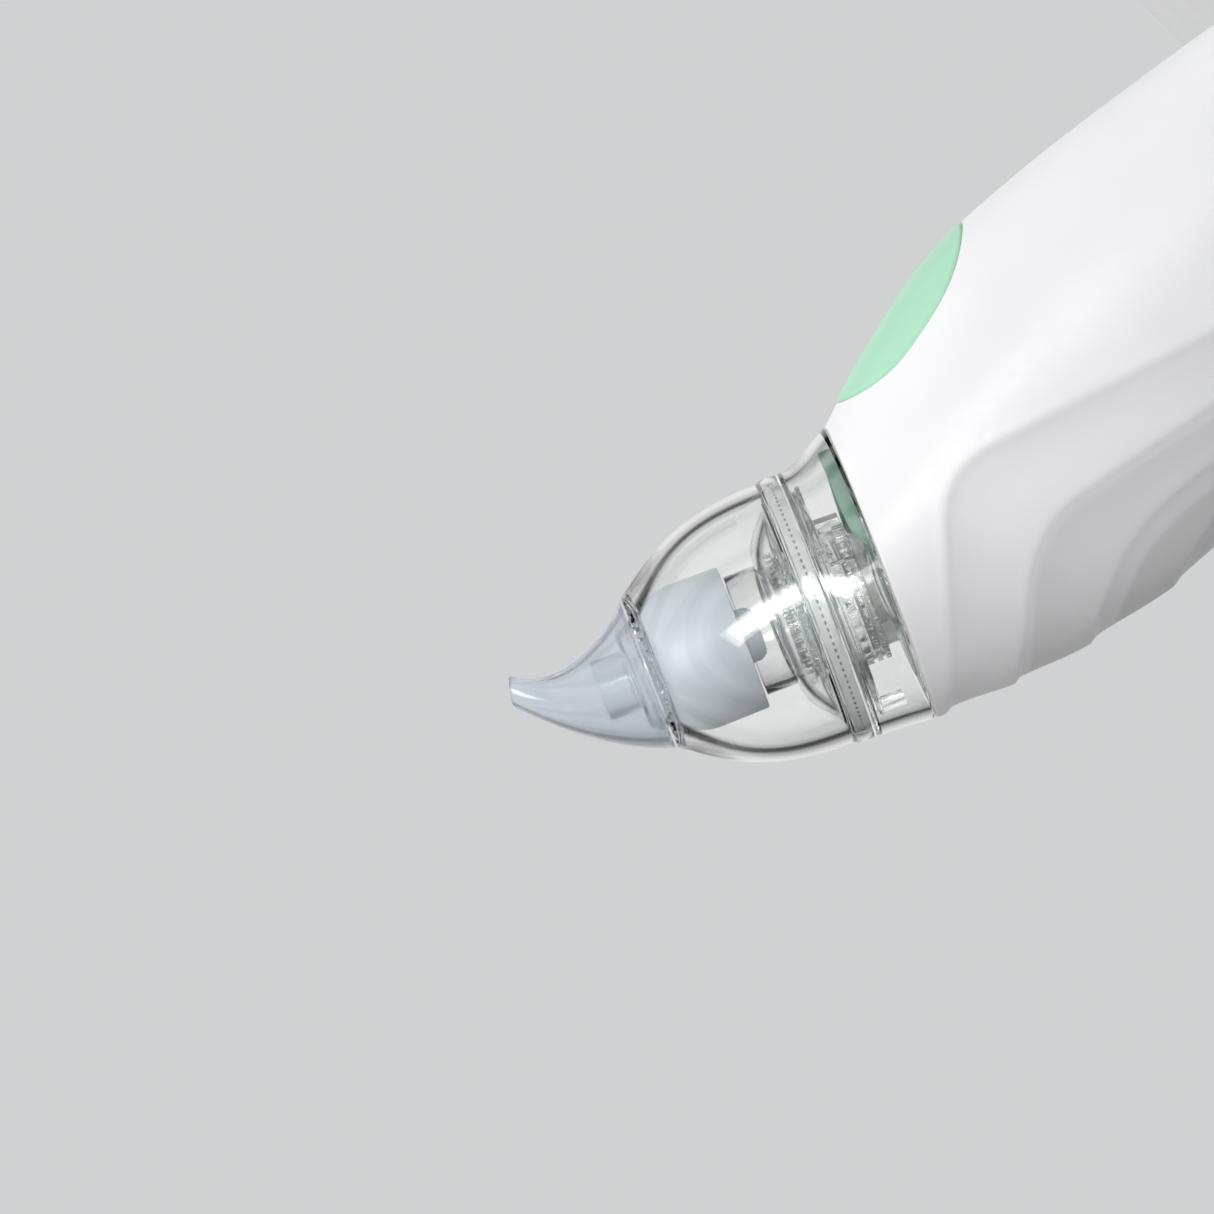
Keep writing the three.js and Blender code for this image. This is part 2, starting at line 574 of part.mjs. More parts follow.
// ---- hose from the inlet port to the pump's intake spout, and the outlet's silencer
const portEnd = fromHead(0, -19.5 - GAP);
const hoseEnd = [-4.5, headY + HEAD_DEPTH / 2, CRANK_Z + 11.5 + GAP];
const hoseBend = [-2.4, (portEnd[1] + hoseEnd[1]) / 2 + 1, hoseEnd[2] + 4.6];
const hoseLine = [portEnd, fromHead(0.5, -22.5), hoseBend,
  [-4.5, hoseEnd[1], hoseEnd[2] + 2.4], hoseEnd];
piece('suction_hose', along(hoseLine, 2.2, 20, 4), plastic(0xdfe6e8, 0.35));
const silencer = rod(2.3, CRANK_Z + 11.8, CRANK_Z + 15.6, headY + HEAD_DEPTH / 2, 4.5, 20);
piece('exhaust_silencer', silencer, plastic(0x8d9094, 0.9));

// ---- inner frame that holds the motor and the cell, and the cell itself
const frameBack = block([-8.4, 11.6, 8.2], [8.4, 13.2, 84]);
const frameFloor = block([-8.4, -9, CELL.high + GAP / 2], [8.4, 11.8, MOTOR.low - GAP / 2]);
piece('inner_frame', join(frameBack, frameFloor), plastic(0xe4e6e8, 0.5));
const cellSide = [[0, CELL.low], [CELL.r, CELL.low], [CELL.r, CELL.high - 1.4]];
const cellTop = [[CELL.r - 0.8, CELL.high - 0.9], [3.2, CELL.high - 0.9], [3.2, CELL.high], [0, CELL.high]];
const cellCan = turned([...cellSide, ...cellTop], 28).translate(0, CELL.y, 0);
piece('battery_cell', cellCan, plastic(0x4b78b8, 0.4));

// ---- charging socket, its soft cover, base cap and foot
const socketShell = ovalPrism(4.5, 1.65, 4, PORT_Z, 13.5, 19.3, 24);
const socketRoom = ovalPrism(4.1, 1.25, 4, PORT_Z, 15.2, 20, 24);
piece('charging_socket', cut(socketShell, socketRoom), steel());
const socketBoard = block([-7, 14.0, 14.0], [7, 15.2, 21.9]);
piece('charging_board', socketBoard, plastic(0x1e6b45, 0.45));

const coverPad = facedPad(PORT_HALF, PORT_POWER, PORT_Z, 1, -0.05, (y) => y - PORT_COVER, 3, 24);
piece('port_cover', coverPad, whitePlastic());

/** Oval level of the base, the handle's lowest section drawn in by a scale. */
function baseRing(z, scale, sides = 40) {
  const s = section(0);
  return Array.from({ length: sides }, (_, j) => {
    const angle = (2 * Math.PI * (j + 0.5)) / sides;
    const p = sectionPoint(s, angle, 0, false);
    return new THREE.Vector3(p.x * scale, p.y * scale, z);
  });
}
const baseLow = 1.5;
const baseHigh = FRONT_LINE[0][1] - GAP;
const baseLevels = [[baseLow, 0.84], [baseLow + 0.9, 0.92], [baseLow + 2.0, 0.965], [baseHigh, 1.0]];
piece('base_cap', loft(baseLevels.map(([z, k]) => baseRing(z, k))), whitePlastic());
const footLevels = [[0, 0.74], [0.3, 0.77], [baseLow - GAP, 0.77]];
piece('foot_pad', loft(footLevels.map(([z, k]) => baseRing(z, k))), silicone());

export default aspirator;
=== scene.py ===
import json
import math

import bmesh
import bpy
import numpy as np
from mathutils import Matrix, Vector


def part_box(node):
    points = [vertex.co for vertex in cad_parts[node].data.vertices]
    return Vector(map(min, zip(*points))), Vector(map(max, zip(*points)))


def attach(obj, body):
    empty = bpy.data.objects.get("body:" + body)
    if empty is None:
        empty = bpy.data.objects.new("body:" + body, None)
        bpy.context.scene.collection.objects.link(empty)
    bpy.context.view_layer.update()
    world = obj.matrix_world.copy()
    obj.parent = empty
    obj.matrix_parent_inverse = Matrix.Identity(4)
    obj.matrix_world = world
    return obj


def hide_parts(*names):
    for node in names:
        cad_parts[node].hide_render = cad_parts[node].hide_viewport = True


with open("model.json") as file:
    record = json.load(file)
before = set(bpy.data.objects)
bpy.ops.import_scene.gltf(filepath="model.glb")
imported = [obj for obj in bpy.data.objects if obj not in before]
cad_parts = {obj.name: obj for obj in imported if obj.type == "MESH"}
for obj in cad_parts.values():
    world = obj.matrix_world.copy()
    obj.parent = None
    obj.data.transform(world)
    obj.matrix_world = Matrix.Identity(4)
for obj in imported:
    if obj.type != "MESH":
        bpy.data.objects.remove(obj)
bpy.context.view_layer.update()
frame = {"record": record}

bl_info = {
    "name": "Nasal aspirator",
    "version": (1, 0, 0),
    "blender": (4, 5, 0),
    "location": "View3D > Sidebar > Aspirator",
    "description": "Builds the visual model of a hand-held nasal aspirator round its packed frame",
    "category": "Add Mesh",
}

MM = 0.001


# ------------------------------------------------------------------ places taken from the frame
def joint(name):
    """The record's joint of that name."""
    return next(j for j in frame["record"]["behaviour"]["joints"] if j["name"] == name)


def box_mm(node):
    """Lowest and highest corners of a node, in millimetres."""
    low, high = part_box(node)
    return np.array(low) / MM, np.array(high) / MM


HEAD_AXIS = np.array(joint("head_release")["axis"])
HEAD_LEAN = math.atan2(-HEAD_AXIS[1], HEAD_AXIS[2])
GASKET_MIDDLE = -1.25
HEAD_ORIGIN = np.mean(box_mm("cup_gasket"), axis=0) - GASKET_MIDDLE * HEAD_AXIS

# handle outline in the middle plane, [y, z] from the base to the neck
FRONT_LINE = [[-18.6, 5.3], [-22.2, 22], [-26.2, 46], [-29.0, 68], [-29.6, 84], [-26.6, 100],
              [-22.83, 112.25]]
BACK_LINE = [[18.6, 5.3], [23.0, 24], [27.8, 48], [30.2, 72], [29.6, 92], [25.0, 112], [17.4, 130.1]]
HANDLE_RUN = 122.0
HALF_WIDTHS = [15.8, 20.2, 22.8, 23.2, 21.9]
SECTION_POWERS = [2.2, 2.3, 2.35, 2.25, 2.05]
# grip layers: corner y, corner z, lean of the lower edge, slope of the upper edge in degrees, share of the
# painted shade that darkens the colour behind the edge
GRIP_EDGES = [(-7.0, 105.7, 0.32, 42, 0.25), (7.6, 102.1, 0.2, 48, 1.6), (18.2, 94.2, 0.12, 57, 1.75),
              (25.4, 84.0, 0.06, 66, 0.9)]


# ------------------------------------------------------------------ sizes and colours a user may change
class AspiratorHandle(bpy.types.PropertyGroup):
    wall: bpy.props.FloatProperty(name="Wall", description="Thickness of the handle shells, mm",
                                  default=2.4)
    seam: bpy.props.FloatProperty(name="Seam", description="Gap between the two shells, mm", default=0.16)
    edge: bpy.props.FloatProperty(name="Edge", description="Rounding of the shells' rims, mm", default=0.35)
    grip_depth: bpy.props.FloatProperty(name="Grip depth", description="Fall of each grip layer, mm",
                                        default=1.15)
    grip_edge: bpy.props.FloatProperty(name="Grip edge", description="Width of each layer's edge, mm",
                                       default=1.0)
    grip_reach: bpy.props.FloatProperty(name="Grip reach", description="Width over which a layer falls, mm",
                                        default=8.5)
    grip_bead: bpy.props.FloatProperty(name="Grip bead",
                                       description="Height of the bead before each edge, mm",
                                       default=0.04)
    grip_notch: bpy.props.FloatProperty(name="Grip notch",
                                        description="Step of each layer on the back outline, mm",
                                        default=0.5)
    rows: bpy.props.IntProperty(name="Rows", description="Steps along the handle", default=236, min=40)
    columns: bpy.props.IntProperty(name="Columns", description="Steps round half of the handle",
                                   default=156, min=20)


class AspiratorButton(bpy.types.PropertyGroup):
    half_width: bpy.props.FloatProperty(name="Half width", description="Half width of the button, mm",
                                        default=15.2)
    half_height: bpy.props.FloatProperty(name="Half height", description="Half height of the button, mm",
                                         default=15.0)
    squareness: bpy.props.FloatProperty(name="Squareness", description="Power of the button's oval",
                                        default=2.5)
    middle: bpy.props.FloatProperty(name="Middle", description="Height of the button's middle, mm",
                                    default=93.4)
    slot: bpy.props.FloatProperty(name="Slot", description="Gap round the button, mm", default=0.3)
    lift: bpy.props.FloatProperty(name="Lift", description="How far the button stands out, mm",
                                  default=0.18)


class AspiratorHead(bpy.types.PropertyGroup):
    cup_radius: bpy.props.FloatProperty(name="Cup radius",
                                        description="Radius of the cup at its rear ring, mm",
                                        default=19.5)
    tip_radius: bpy.props.FloatProperty(name="Tip radius", description="Radius of the cup's nose, mm",
                                        default=11.4)
    cup_length: bpy.props.FloatProperty(name="Cup length", description="From the rear ring to the nose, mm",
                                        default=24.1)
    cup_wall: bpy.props.FloatProperty(name="Cup wall", description="Thickness of the cup, mm", default=1.9)
    skirt_radius: bpy.props.FloatProperty(name="Skirt radius", description="Radius of the cup's skirt, mm",
                                          default=19.9)
    neck_radius: bpy.props.FloatProperty(name="Neck radius",
                                         description="Radius of the collar at the handle, mm",
                                         default=22.0)
    neck_shift: bpy.props.FloatProperty(name="Neck shift",
                                        description="Offset of the neck to the front, mm", default=-1.6)
    segments: bpy.props.IntProperty(name="Segments", description="Steps round the turned pieces",
                                    default=160, min=24)


class AspiratorColours(bpy.types.PropertyGroup):
    shell: bpy.props.FloatVectorProperty(name="Shell", description="White of the handle", subtype="COLOR",
                                         size=3, default=(0.855, 0.855, 0.87), min=0, max=1)
    # the button's green is its own; on the neck ring a darker shade of it is a painted refraction
    mint: bpy.props.FloatVectorProperty(name="Mint", description="Green of the button and neck ring",
                                        subtype="COLOR", size=3, default=(0.42, 0.74, 0.54), min=0, max=1)
    silicone: bpy.props.FloatVectorProperty(name="Silicone",
                                            description="Cool grey blue of the soft pieces",
                                            subtype="COLOR", size=3, default=(0.68, 0.73, 0.785), min=0,
                                            max=1)
    clear: bpy.props.FloatVectorProperty(name="Clear", description="Tint of the clear pieces",
                                         subtype="COLOR", size=3, default=(0.985, 0.995, 0.99), min=0,
                                         max=1)


class AspiratorStage(bpy.types.PropertyGroup):
    distance: bpy.props.FloatProperty(name="Distance", description="From the camera to the middle plane",
                                      default=1.2, unit="LENGTH")
    view_width: bpy.props.FloatProperty(name="View width",
                                        description="Width of the view at the middle plane",
                                        default=0.1717, unit="LENGTH")
    roll: bpy.props.FloatProperty(name="Roll", description="Turn of the camera about its line of sight",
                                  subtype="ANGLE", default=math.radians(135))
    floor_radius: bpy.props.FloatProperty(name="Floor radius", description="Radius of the floor disc",
                                          default=0.42, unit="LENGTH")


def sizes(context, part):
    """The property group of one part of the aspirator."""
    return getattr(context.scene, "aspirator_" + part)


# ------------------------------------------------------------------ mesh helpers
def grid_faces(rows, columns, close_rows, close_columns):
    """Quads of a grid of points, as rows of four indices; a closed direction joins its last line to its
    first."""
    i = np.arange(rows if close_rows else rows - 1)[:, None]
    j = np.arange(columns if close_columns else columns - 1)[None, :]
    i1, j1 = (i + 1) % rows, (j + 1) % columns
    quads = np.stack([i * columns + j, i1 * columns + j, i1 * columns + j1, i * columns + j1], axis=-1)
    return quads.reshape(-1, 4)


def signed_volume(points, quads):
    """Volume inside the quads, negative when they face inwards: a sum of pyramids from the origin."""
    a, b, c, d = (points[quads[:, k]] for k in range(4))
    return float(np.sum(a * np.cross(b, c)) + np.sum(a * np.cross(c, d))) / 6


def finished(name, points, quads, material, sharp=35.0, fields=None):
    """A closed mesh from points in metres and quads: poles merged, faces turned outwards, creases kept
    sharp; each field is a named value per point that the material reads."""
    if signed_volume(points - points.mean(axis=0), quads) < 0:
        quads = quads[:, ::-1]
    mesh = bpy.data.meshes.new(name)
    mesh.vertices.add(len(points))
    mesh.vertices.foreach_set("co", points.astype(np.float32).ravel())
    mesh.loops.add(quads.size)
    mesh.loops.foreach_set("vertex_index", quads.astype(np.int32).ravel())
    mesh.polygons.add(len(quads))
    mesh.polygons.foreach_set("loop_start", np.arange(len(quads), dtype=np.int32) * 4)
    mesh.update(calc_edges=True)
    for field, values in (fields or {}).items():
        values_of = mesh.attributes.new(field, "FLOAT", "POINT")
        values_of.data.foreach_set("value", values.astype(np.float32).ravel())
    tidy = bmesh.new()
    tidy.from_mesh(mesh)
    bmesh.ops.remove_doubles(tidy, verts=tidy.verts, dist=1e-6)
    bmesh.ops.dissolve_degenerate(tidy, dist=1e-7, edges=tidy.edges)
    tidy.to_mesh(mesh)
    tidy.free()
    mesh.validate()
    mesh.shade_smooth()
    mesh.set_sharp_from_angle(angle=math.radians(sharp))
    mesh.materials.append(material)
    piece = bpy.data.objects.new(name, mesh)
    bpy.context.scene.collection.objects.link(piece)
    return piece


def joined(name, parts, material, sharp=35.0, fields=None):
    """Several grids in one piece; each part is a list of points and their quads."""
    offsets = np.cumsum([0] + [len(p) for p, _ in parts[:-1]])
    quads = []
    for (points, faces), offset in zip(parts, offsets):
        if signed_volume(points - points.mean(axis=0), faces) < 0:
            faces = faces[:, ::-1]
        quads.append(faces + offset)
    return finished(name, np.concatenate([p for p, _ in parts]), np.concatenate(quads), material, sharp,
                    fields)


def from_head(points):
    """Points of the head frame in mm, placed in the row frame in metres: turned by the lean about x, then
    moved."""
    x, y, z = np.moveaxis(np.asarray(points, float), -1, 0)
    c, s = math.cos(HEAD_LEAN), math.sin(HEAD_LEAN)
    placed = np.stack([x, y * c - z * s, y * s + z * c], axis=-1) + HEAD_ORIGIN
    return placed * MM


def softened(corners, radius, steps=5):
    """Closed outline with each corner drawn as a small parabola that starts and ends `radius` away from
    it."""
    p = np.asarray(corners, float)
    before, after = np.roll(p, 1, 0) - p, np.roll(p, -1, 0) - p
    to_before = np.linalg.norm(before, axis=1)
    to_after = np.linalg.norm(after, axis=1)
    start = p + before * (np.minimum(radius, 0.45 * to_before) / to_before)[:, None]
    end = p + after * (np.minimum(radius, 0.45 * to_after) / to_after)[:, None]
    t = np.linspace(0, 1, steps)[None, :, None]
    bend = (1 - t) ** 2 * start[:, None] + 2 * t * (1 - t) * p[:, None] + t ** 2 * end[:, None]
    return bend.reshape(-1, 2)


def bezier(control, count):
    """Points of a cubic curve through its first and last control points."""
    a, b, c, d = np.asarray(control, float)
    t = np.linspace(0, 1, count)[:, None]
    return (1 - t) ** 3 * a + 3 * t * (1 - t) ** 2 * b + 3 * t ** 2 * (1 - t) * c + t ** 3 * d


def turned(outline, segments, shift=0.0, ripple=None):
    """Closed [r, z] outline turned about the head's axis, in mm; ripple adds to radius and height along
    the turn."""
    angle = np.linspace(0, 2 * np.pi, segments, endpoint=False)[:, None]
    r, z = np.asarray(outline, float).T
    more_r, more_z = (0, 0) if ripple is None else ripple(angle, r[None, :], z[None, :])
    radius = np.broadcast_to(r[None, :] + more_r, (segments, len(r)))
    height = np.broadcast_to(z[None, :] + more_z, (segments, len(r)))
    grid = np.stack([radius * np.sin(angle), radius * np.cos(angle) + shift, height], axis=-1)
    return from_head(grid).reshape(-1, 3), grid_faces(segments, len(r), True, True)


def head_piece(name, parts, material, body, replaced, sharp=35.0, fields=None):
    """A piece of the head that rides on its body and stands for its CAD nodes."""
    piece = joined(name, parts, material, sharp, fields)
    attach(piece, body)
    if replaced:
        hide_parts(*replaced)
    return piece


# ------------------------------------------------------------------ handle surface
def catmull(points, count):
    """Evenly spaced points on a centripetal Catmull-Rom curve: each span is a cubic whose end slopes come
    from its neighbours, weighted by the square root of the distances."""
    p = np.asarray(points, float)
    p = np.vstack([2 * p[0] - p[1], p, 2 * p[-1] - p[-2]])
    step = np.sqrt(np.linalg.norm(np.diff(p, axis=0), axis=1))[:, None]
    p0, p1, p2, p3 = p[:-3], p[1:-2], p[2:-1], p[3:]
    d0, d1, d2 = step[:-2], step[1:-1], step[2:]
    m1 = ((p1 - p0) / d0 - (p2 - p0) / (d0 + d1) + (p2 - p1) / d1) * d1
    m2 = ((p2 - p1) / d1 - (p3 - p1) / (d1 + d2) + (p3 - p2) / d2) * d1
    t = np.linspace(0, 1, 60)[None, :, None]
    p1, p2, m1, m2 = (v[:, None] for v in (p1, p2, m1, m2))
    curve = (2 * t ** 3 - 3 * t ** 2 + 1) * p1 + (t ** 3 - 2 * t ** 2 + t) * m1
    curve = (curve + (-2 * t ** 3 + 3 * t ** 2) * p2 + (t ** 3 - t ** 2) * m2).reshape(-1, 2)
    length = np.concatenate([[0], np.cumsum(np.linalg.norm(np.diff(curve, axis=0), axis=1))])
    at = np.linspace(0, length[-1], count)
    return np.stack([np.interp(at, length, curve[:, 0]), np.interp(at, length, curve[:, 1])], axis=-1)


FINE = 2001
FRONT_CURVE = catmull(FRONT_LINE, FINE)
BACK_CURVE = catmull(BACK_LINE, FINE)


def along_curve(curve, t):
    """Point of an evenly spaced curve at t from 0 to 1."""
    at = np.linspace(0, 1, FINE)
    return np.stack([np.interp(t, at, curve[:, 0]), np.interp(t, at, curve[:, 1])], axis=-1)


def spline_value(values, t):
    """Value between equally spaced ones by a Catmull-Rom cubic, its ends repeated."""
    v = np.asarray([values[0], *values, values[-1]], float)
    x = np.clip(t, 0, 1) * (len(values) - 1)
    i = np.minimum(x.astype(int), len(values) - 2)
    f = x - i
    a, b, c, d = v[i], v[i + 1], v[i + 2], v[i + 3]
    m0, m1 = (c - a) / 2, (d - b) / 2
    return (2 * b - 2 * c + m0 + m1) * f ** 3 + (-3 * b + 3 * c - 2 * m0 - m1) * f ** 2 + m0 * f + b


def smoothstep(x, low, high):
    """0 below low, 1 above high, a smooth S between."""
    u = np.clip((x - low) / (high - low), 0, 1)
    return u * u * (3 - 2 * u)


def grip_inside(y, z, edge):
    """Distance behind a grip edge, in mm. The edge is the rounded corner between a line down the handle
    and a line up to its back, and the distance behind it is the smooth minimum of the distances behind
    both."""
    cy, cz, lean, slope = edge[:4]
    corner = 7.0
    a = math.radians(slope)
    behind = (y - cy - lean * (cz - z)) / math.hypot(1, lean)
    below = (y - cy) * math.sin(a) - (z - cz) * math.cos(a)
    h = np.clip(corner - np.abs(behind - below), 0, None) / corner
    return np.minimum(behind, below) - h * h * corner / 4


def grip_depth(y, z, handle):
    """Depth of the grip layers at a point of the flank, in mm. Behind each edge the surface turns down at
    once and back slowly: its slope rises by a smooth step over the edge's width and dies away by another
    over the reach; the depth is the running sum of that slope, brought to the fall of one layer. Before
    the edge stands a low bead, a bell curve of the distance."""
    d = np.linspace(-3, handle.grip_reach + 2, 600)
    half = handle.grip_edge / 2
    steep = 1 + 0.9 * np.exp(-((d - 0.2) / 0.8) ** 2)
    slope = smoothstep(d, -half, half) * (1 - smoothstep(d, 0.5, handle.grip_reach)) * steep
    fall = np.cumsum(slope)
    fall *= handle.grip_depth / fall[-1]
    fall -= handle.grip_bead * np.exp(-((d + 0.9) / 0.65) ** 2)
    depth = np.zeros_like(y)
    for edge in GRIP_EDGES:
        depth += np.interp(grip_inside(y, z, edge), d, fall)
    return depth * smoothstep(z, 14, 44)


def grip_notch(y, z, handle):
    """Depth of the short steps on the back outline, in mm: each drops over 1.2 mm and comes back over 9
    mm."""
    notch = np.zeros_like(y)
    for edge in GRIP_EDGES:
        d = grip_inside(y, z, edge)
        notch += smoothstep(d, -0.6, 0.6) - smoothstep(d, 0.6, 9.0)
    return handle.grip_notch * notch * smoothstep(z, 14, 44)


def grip_painted_shade(y, z, handle):
    """Painted shade of the grip layers, a darkening of the colour that stands in for the shading of the
    steps: each edge adds its share by a smooth step, and behind it half of that fades again."""
    half = handle.grip_edge / 2
    layer = np.zeros_like(y)
    for edge in GRIP_EDGES:
        d = grip_inside(y, z, edge)
        layer += edge[4] * smoothstep(d, -half, half) * (1 - 0.5 * smoothstep(d, 0.5, 13))
    return layer * smoothstep(z, 14, 60)


def handle_surface(t, angle, inset, handle):
    """Points of the handle: at t from base to neck a rounded section, |run/depth|^n + |side/width|^n = 1,
    lies between the front and back lines; angle goes from the front (0) by the +X side to the back
    (pi)."""
    front, back = along_curve(FRONT_CURVE, t), along_curve(BACK_CURVE, t)
    middle = front + 0.48 * (back - front)
    span = back - front
    to_back = span / np.linalg.norm(span, axis=-1, keepdims=True)
    power = 2 / spline_value(SECTION_POWERS, t)
    c, w = -np.cos(angle), np.sin(angle)
    front_depth = np.linalg.norm(middle - front, axis=-1)
    back_depth = np.linalg.norm(back - middle, axis=-1)
    run = np.sign(c) * (np.where(c < 0, front_depth, back_depth) - inset) * np.abs(c) ** power
    side = (spline_value(HALF_WIDTHS, t) - inset) * np.abs(w) ** power
    p = middle + to_back * run[..., None]
    grip = grip_depth(p[..., 0], p[..., 1], handle) * (0.4 + 0.6 * w)
    notch = grip_notch(p[..., 0], p[..., 1], handle) * smoothstep(c, 0.75, 1.0)
    p = p - to_back * (grip * np.clip(c, 0, None) + notch)[..., None]
    return side - grip * w, p[..., 0], p[..., 1]


def face_height(x, z, side, handle):
    """y of the handle's front (-1) or back (+1) face at x and z, found by halving the span of t thirty
    times."""
    low, high = np.zeros_like(x), np.ones_like(x)
    y = np.zeros_like(x)
    for _ in range(30):
        t = (low + high) / 2
        front, back = along_curve(FRONT_CURVE, t), along_curve(BACK_CURVE, t)
        middle = front + 0.48 * (back - front)
        span = back - front
        to_back = span / np.linalg.norm(span, axis=-1, keepdims=True)
        n = spline_value(SECTION_POWERS, t)
        across = np.clip(np.abs(x) / spline_value(HALF_WIDTHS, t), 0, 1)
        end = front if side < 0 else back
        depth = np.linalg.norm(end - middle, axis=-1)
        if side > 0:
            depth = depth - 0.4 * grip_depth(y, z, handle)
        run = side * depth * (1 - across ** n) ** (1 / n)
        p = middle + to_back * run[..., None]
        y = p[..., 0]
        below = p[..., 1] < z
        low, high = np.where(below, t, low), np.where(below, high, t)
    return y


def clustered(count, ends=(0.0006, 0.0014, 0.0026, 0.0045, 0.007)):
    """Steps from 0 to 1, even in the middle and close together at both ends."""
    close = np.array([0.0, *ends])
    return np.concatenate([close, np.linspace(0.0105, 0.9895, count), 1 - close[::-1]])


def oval(angle, half_x, half_z, power):
    """Point of the rounded outline |x/a|^n + |z/b|^n = 1 at an angle."""
    c, s = np.cos(angle), np.sin(angle)
    return (half_x * np.sign(c) * np.abs(c) ** (2 / power), half_z * np.sign(s) * np.abs(s) ** (2 / power))


# ------------------------------------------------------------------ materials
class Nodes:
    """A new material and a short way to add nodes to it."""

    def __init__(self, name):
        self.material = bpy.data.materials.new(name)
        self.material.use_nodes = True
        self.tree = self.material.node_tree
        self.shader = self.tree.nodes["Principled BSDF"]

    def set(self, **values):
        """Sets the shader's own sockets, underscores standing for spaces."""
        for key, value in values.items():
            if isinstance(value, tuple) and len(value) == 3:
                value = (*value, 1.0) if key.endswith("Color") else value
            self.shader.inputs[key.replace("_", " ")].default_value = value
        return self

    def add(self, kind, links=None, **values):
        """Adds a node; values starting with a capital are sockets, the others are settings."""
        node = self.tree.nodes.new(kind)
        for key, value in values.items():
            if key[0].isupper():
                node.inputs[key.replace("_", " ")].default_value = value
            else:
                setattr(node, key, value)
        for socket, source in (links or {}).items():
            self.tree.links.new(source, node.inputs[socket])
        return node

    def link(self, source, socket):
        self.tree.links.new(source, self.shader.inputs[socket])

    def place(self):
        """Object coordinates, in metres."""
        return self.add("ShaderNodeTexCoord").outputs["Object"]

    def noise(self, per_metre, detail=3.0, roughness=0.5):
        """Noise in object coordinates, with about per_metre features along a metre."""
        return self.add("ShaderNodeTexNoise", {"Vector": self.place()}, Scale=per_metre, Detail=detail,
                        Roughness=roughness).outputs["Fac"]

    def spread(self, value, low, high):
        """Maps the middle of a noise to the span from low to high."""
        node = self.add("ShaderNodeMapRange", {"Value": value})
        for key, v in (("From Min", 0.3), ("From Max", 0.7), ("To Min", low), ("To Max", high)):
            node.inputs[key].default_value = v
        return node.outputs["Result"]

    def tint(self, value, first, second):
        """Colour between two, by a value."""
        node = self.add("ShaderNodeMix", data_type="RGBA")
        self.tree.links.new(value, node.inputs[0])
        node.inputs[6].default_value = (*first, 1.0)
        node.inputs[7].default_value = (*second, 1.0)
        return node.outputs[2]

    def relief(self, height, strength, distance):
        """Bump of a height; distance is in metres."""
        return self.add("ShaderNodeBump", {"Height": height}, Strength=strength,
                        Distance=distance).outputs["Normal"]


def shade(colour, factor):
    """A colour made darker or lighter."""
    return tuple(min(c * factor, 1.0) for c in colour)


def moulded(name, colour, roughness=0.36, grain=0.05, subsurface=0.0, coat=0.0, layers=0.0):
    """Moulded plastic: fine spark-erosion grain, faint flow clouds in colour and gloss; on the grip,
    painted shade may make each layer a little darker than the one before, standing in for the shading of
    the steps."""
    n = Nodes(name).set(Roughness=roughness, IOR=1.49, Subsurface_Weight=subsurface, Coat_Weight=coat,
                        Coat_Roughness=0.15)
    n.shader.inputs["Subsurface Radius"].default_value = (0.004, 0.003, 0.003)
    clouds = n.noise(55, detail=2.0)
    tint = n.tint(n.spread(clouds, 0, 1), shade(colour, 0.975), shade(colour, 1.015))
    # painted shade: the grip's layer attribute darkens the colour, standing in for the shading of the
    # stepped layers
    if layers:
        layer = n.add("ShaderNodeAttribute", attribute_name="layer").outputs[2]
        grey = n.add("ShaderNodeMapRange", {"Value": layer})
        grey.inputs["From Max"].default_value = 4.0
        darker = n.add("ShaderNodeMix", data_type="RGBA")
        n.tree.links.new(grey.outputs[0], darker.inputs[0])
        n.tree.links.new(tint, darker.inputs[6])
        darker.inputs[7].default_value = (*shade(colour, 1 - layers), 1)
        tint = darker.outputs[2]
    n.link(tint, "Base Color")
    n.link(n.spread(n.noise(900), roughness - 0.05, roughness + 0.05), "Roughness")
    n.link(n.relief(n.noise(3600, detail=4.0, roughness=0.6), grain, 0.00003), "Normal")
    return n.material


def let_light_in(n, colour):
    """Lets the studio lights shine straight through: what casts the shadow is a plain tinted film."""
    film = n.add("ShaderNodeBsdfTransparent", Color=(*colour, 1))
    mix = n.add("ShaderNodeMixShader")
    output = n.tree.nodes["Material Output"]
    n.tree.links.new(n.add("ShaderNodeLightPath").outputs["Is Shadow Ray"], mix.inputs[0])
    n.tree.links.new(n.shader.outputs[0], mix.inputs[1])
    n.tree.links.new(film.outputs[0], mix.inputs[2])
    n.tree.links.new(mix.outputs[0], output.inputs["Surface"])


def clear_plastic(name, colour, ior=1.55, roughness=0.0):
    """Polished clear plastic with the faint waviness of moulding and a trace of haze."""
    n = Nodes(name).set(Base_Color=colour, Transmission_Weight=1.0, IOR=ior)
    n.link(n.spread(n.noise(160), roughness, roughness + 0.02), "Roughness")
    n.link(n.relief(n.noise(120, detail=1.0), 0.12, 0.00006), "Normal")
    let_light_in(n, shade(colour, 0.95))
    return n.material


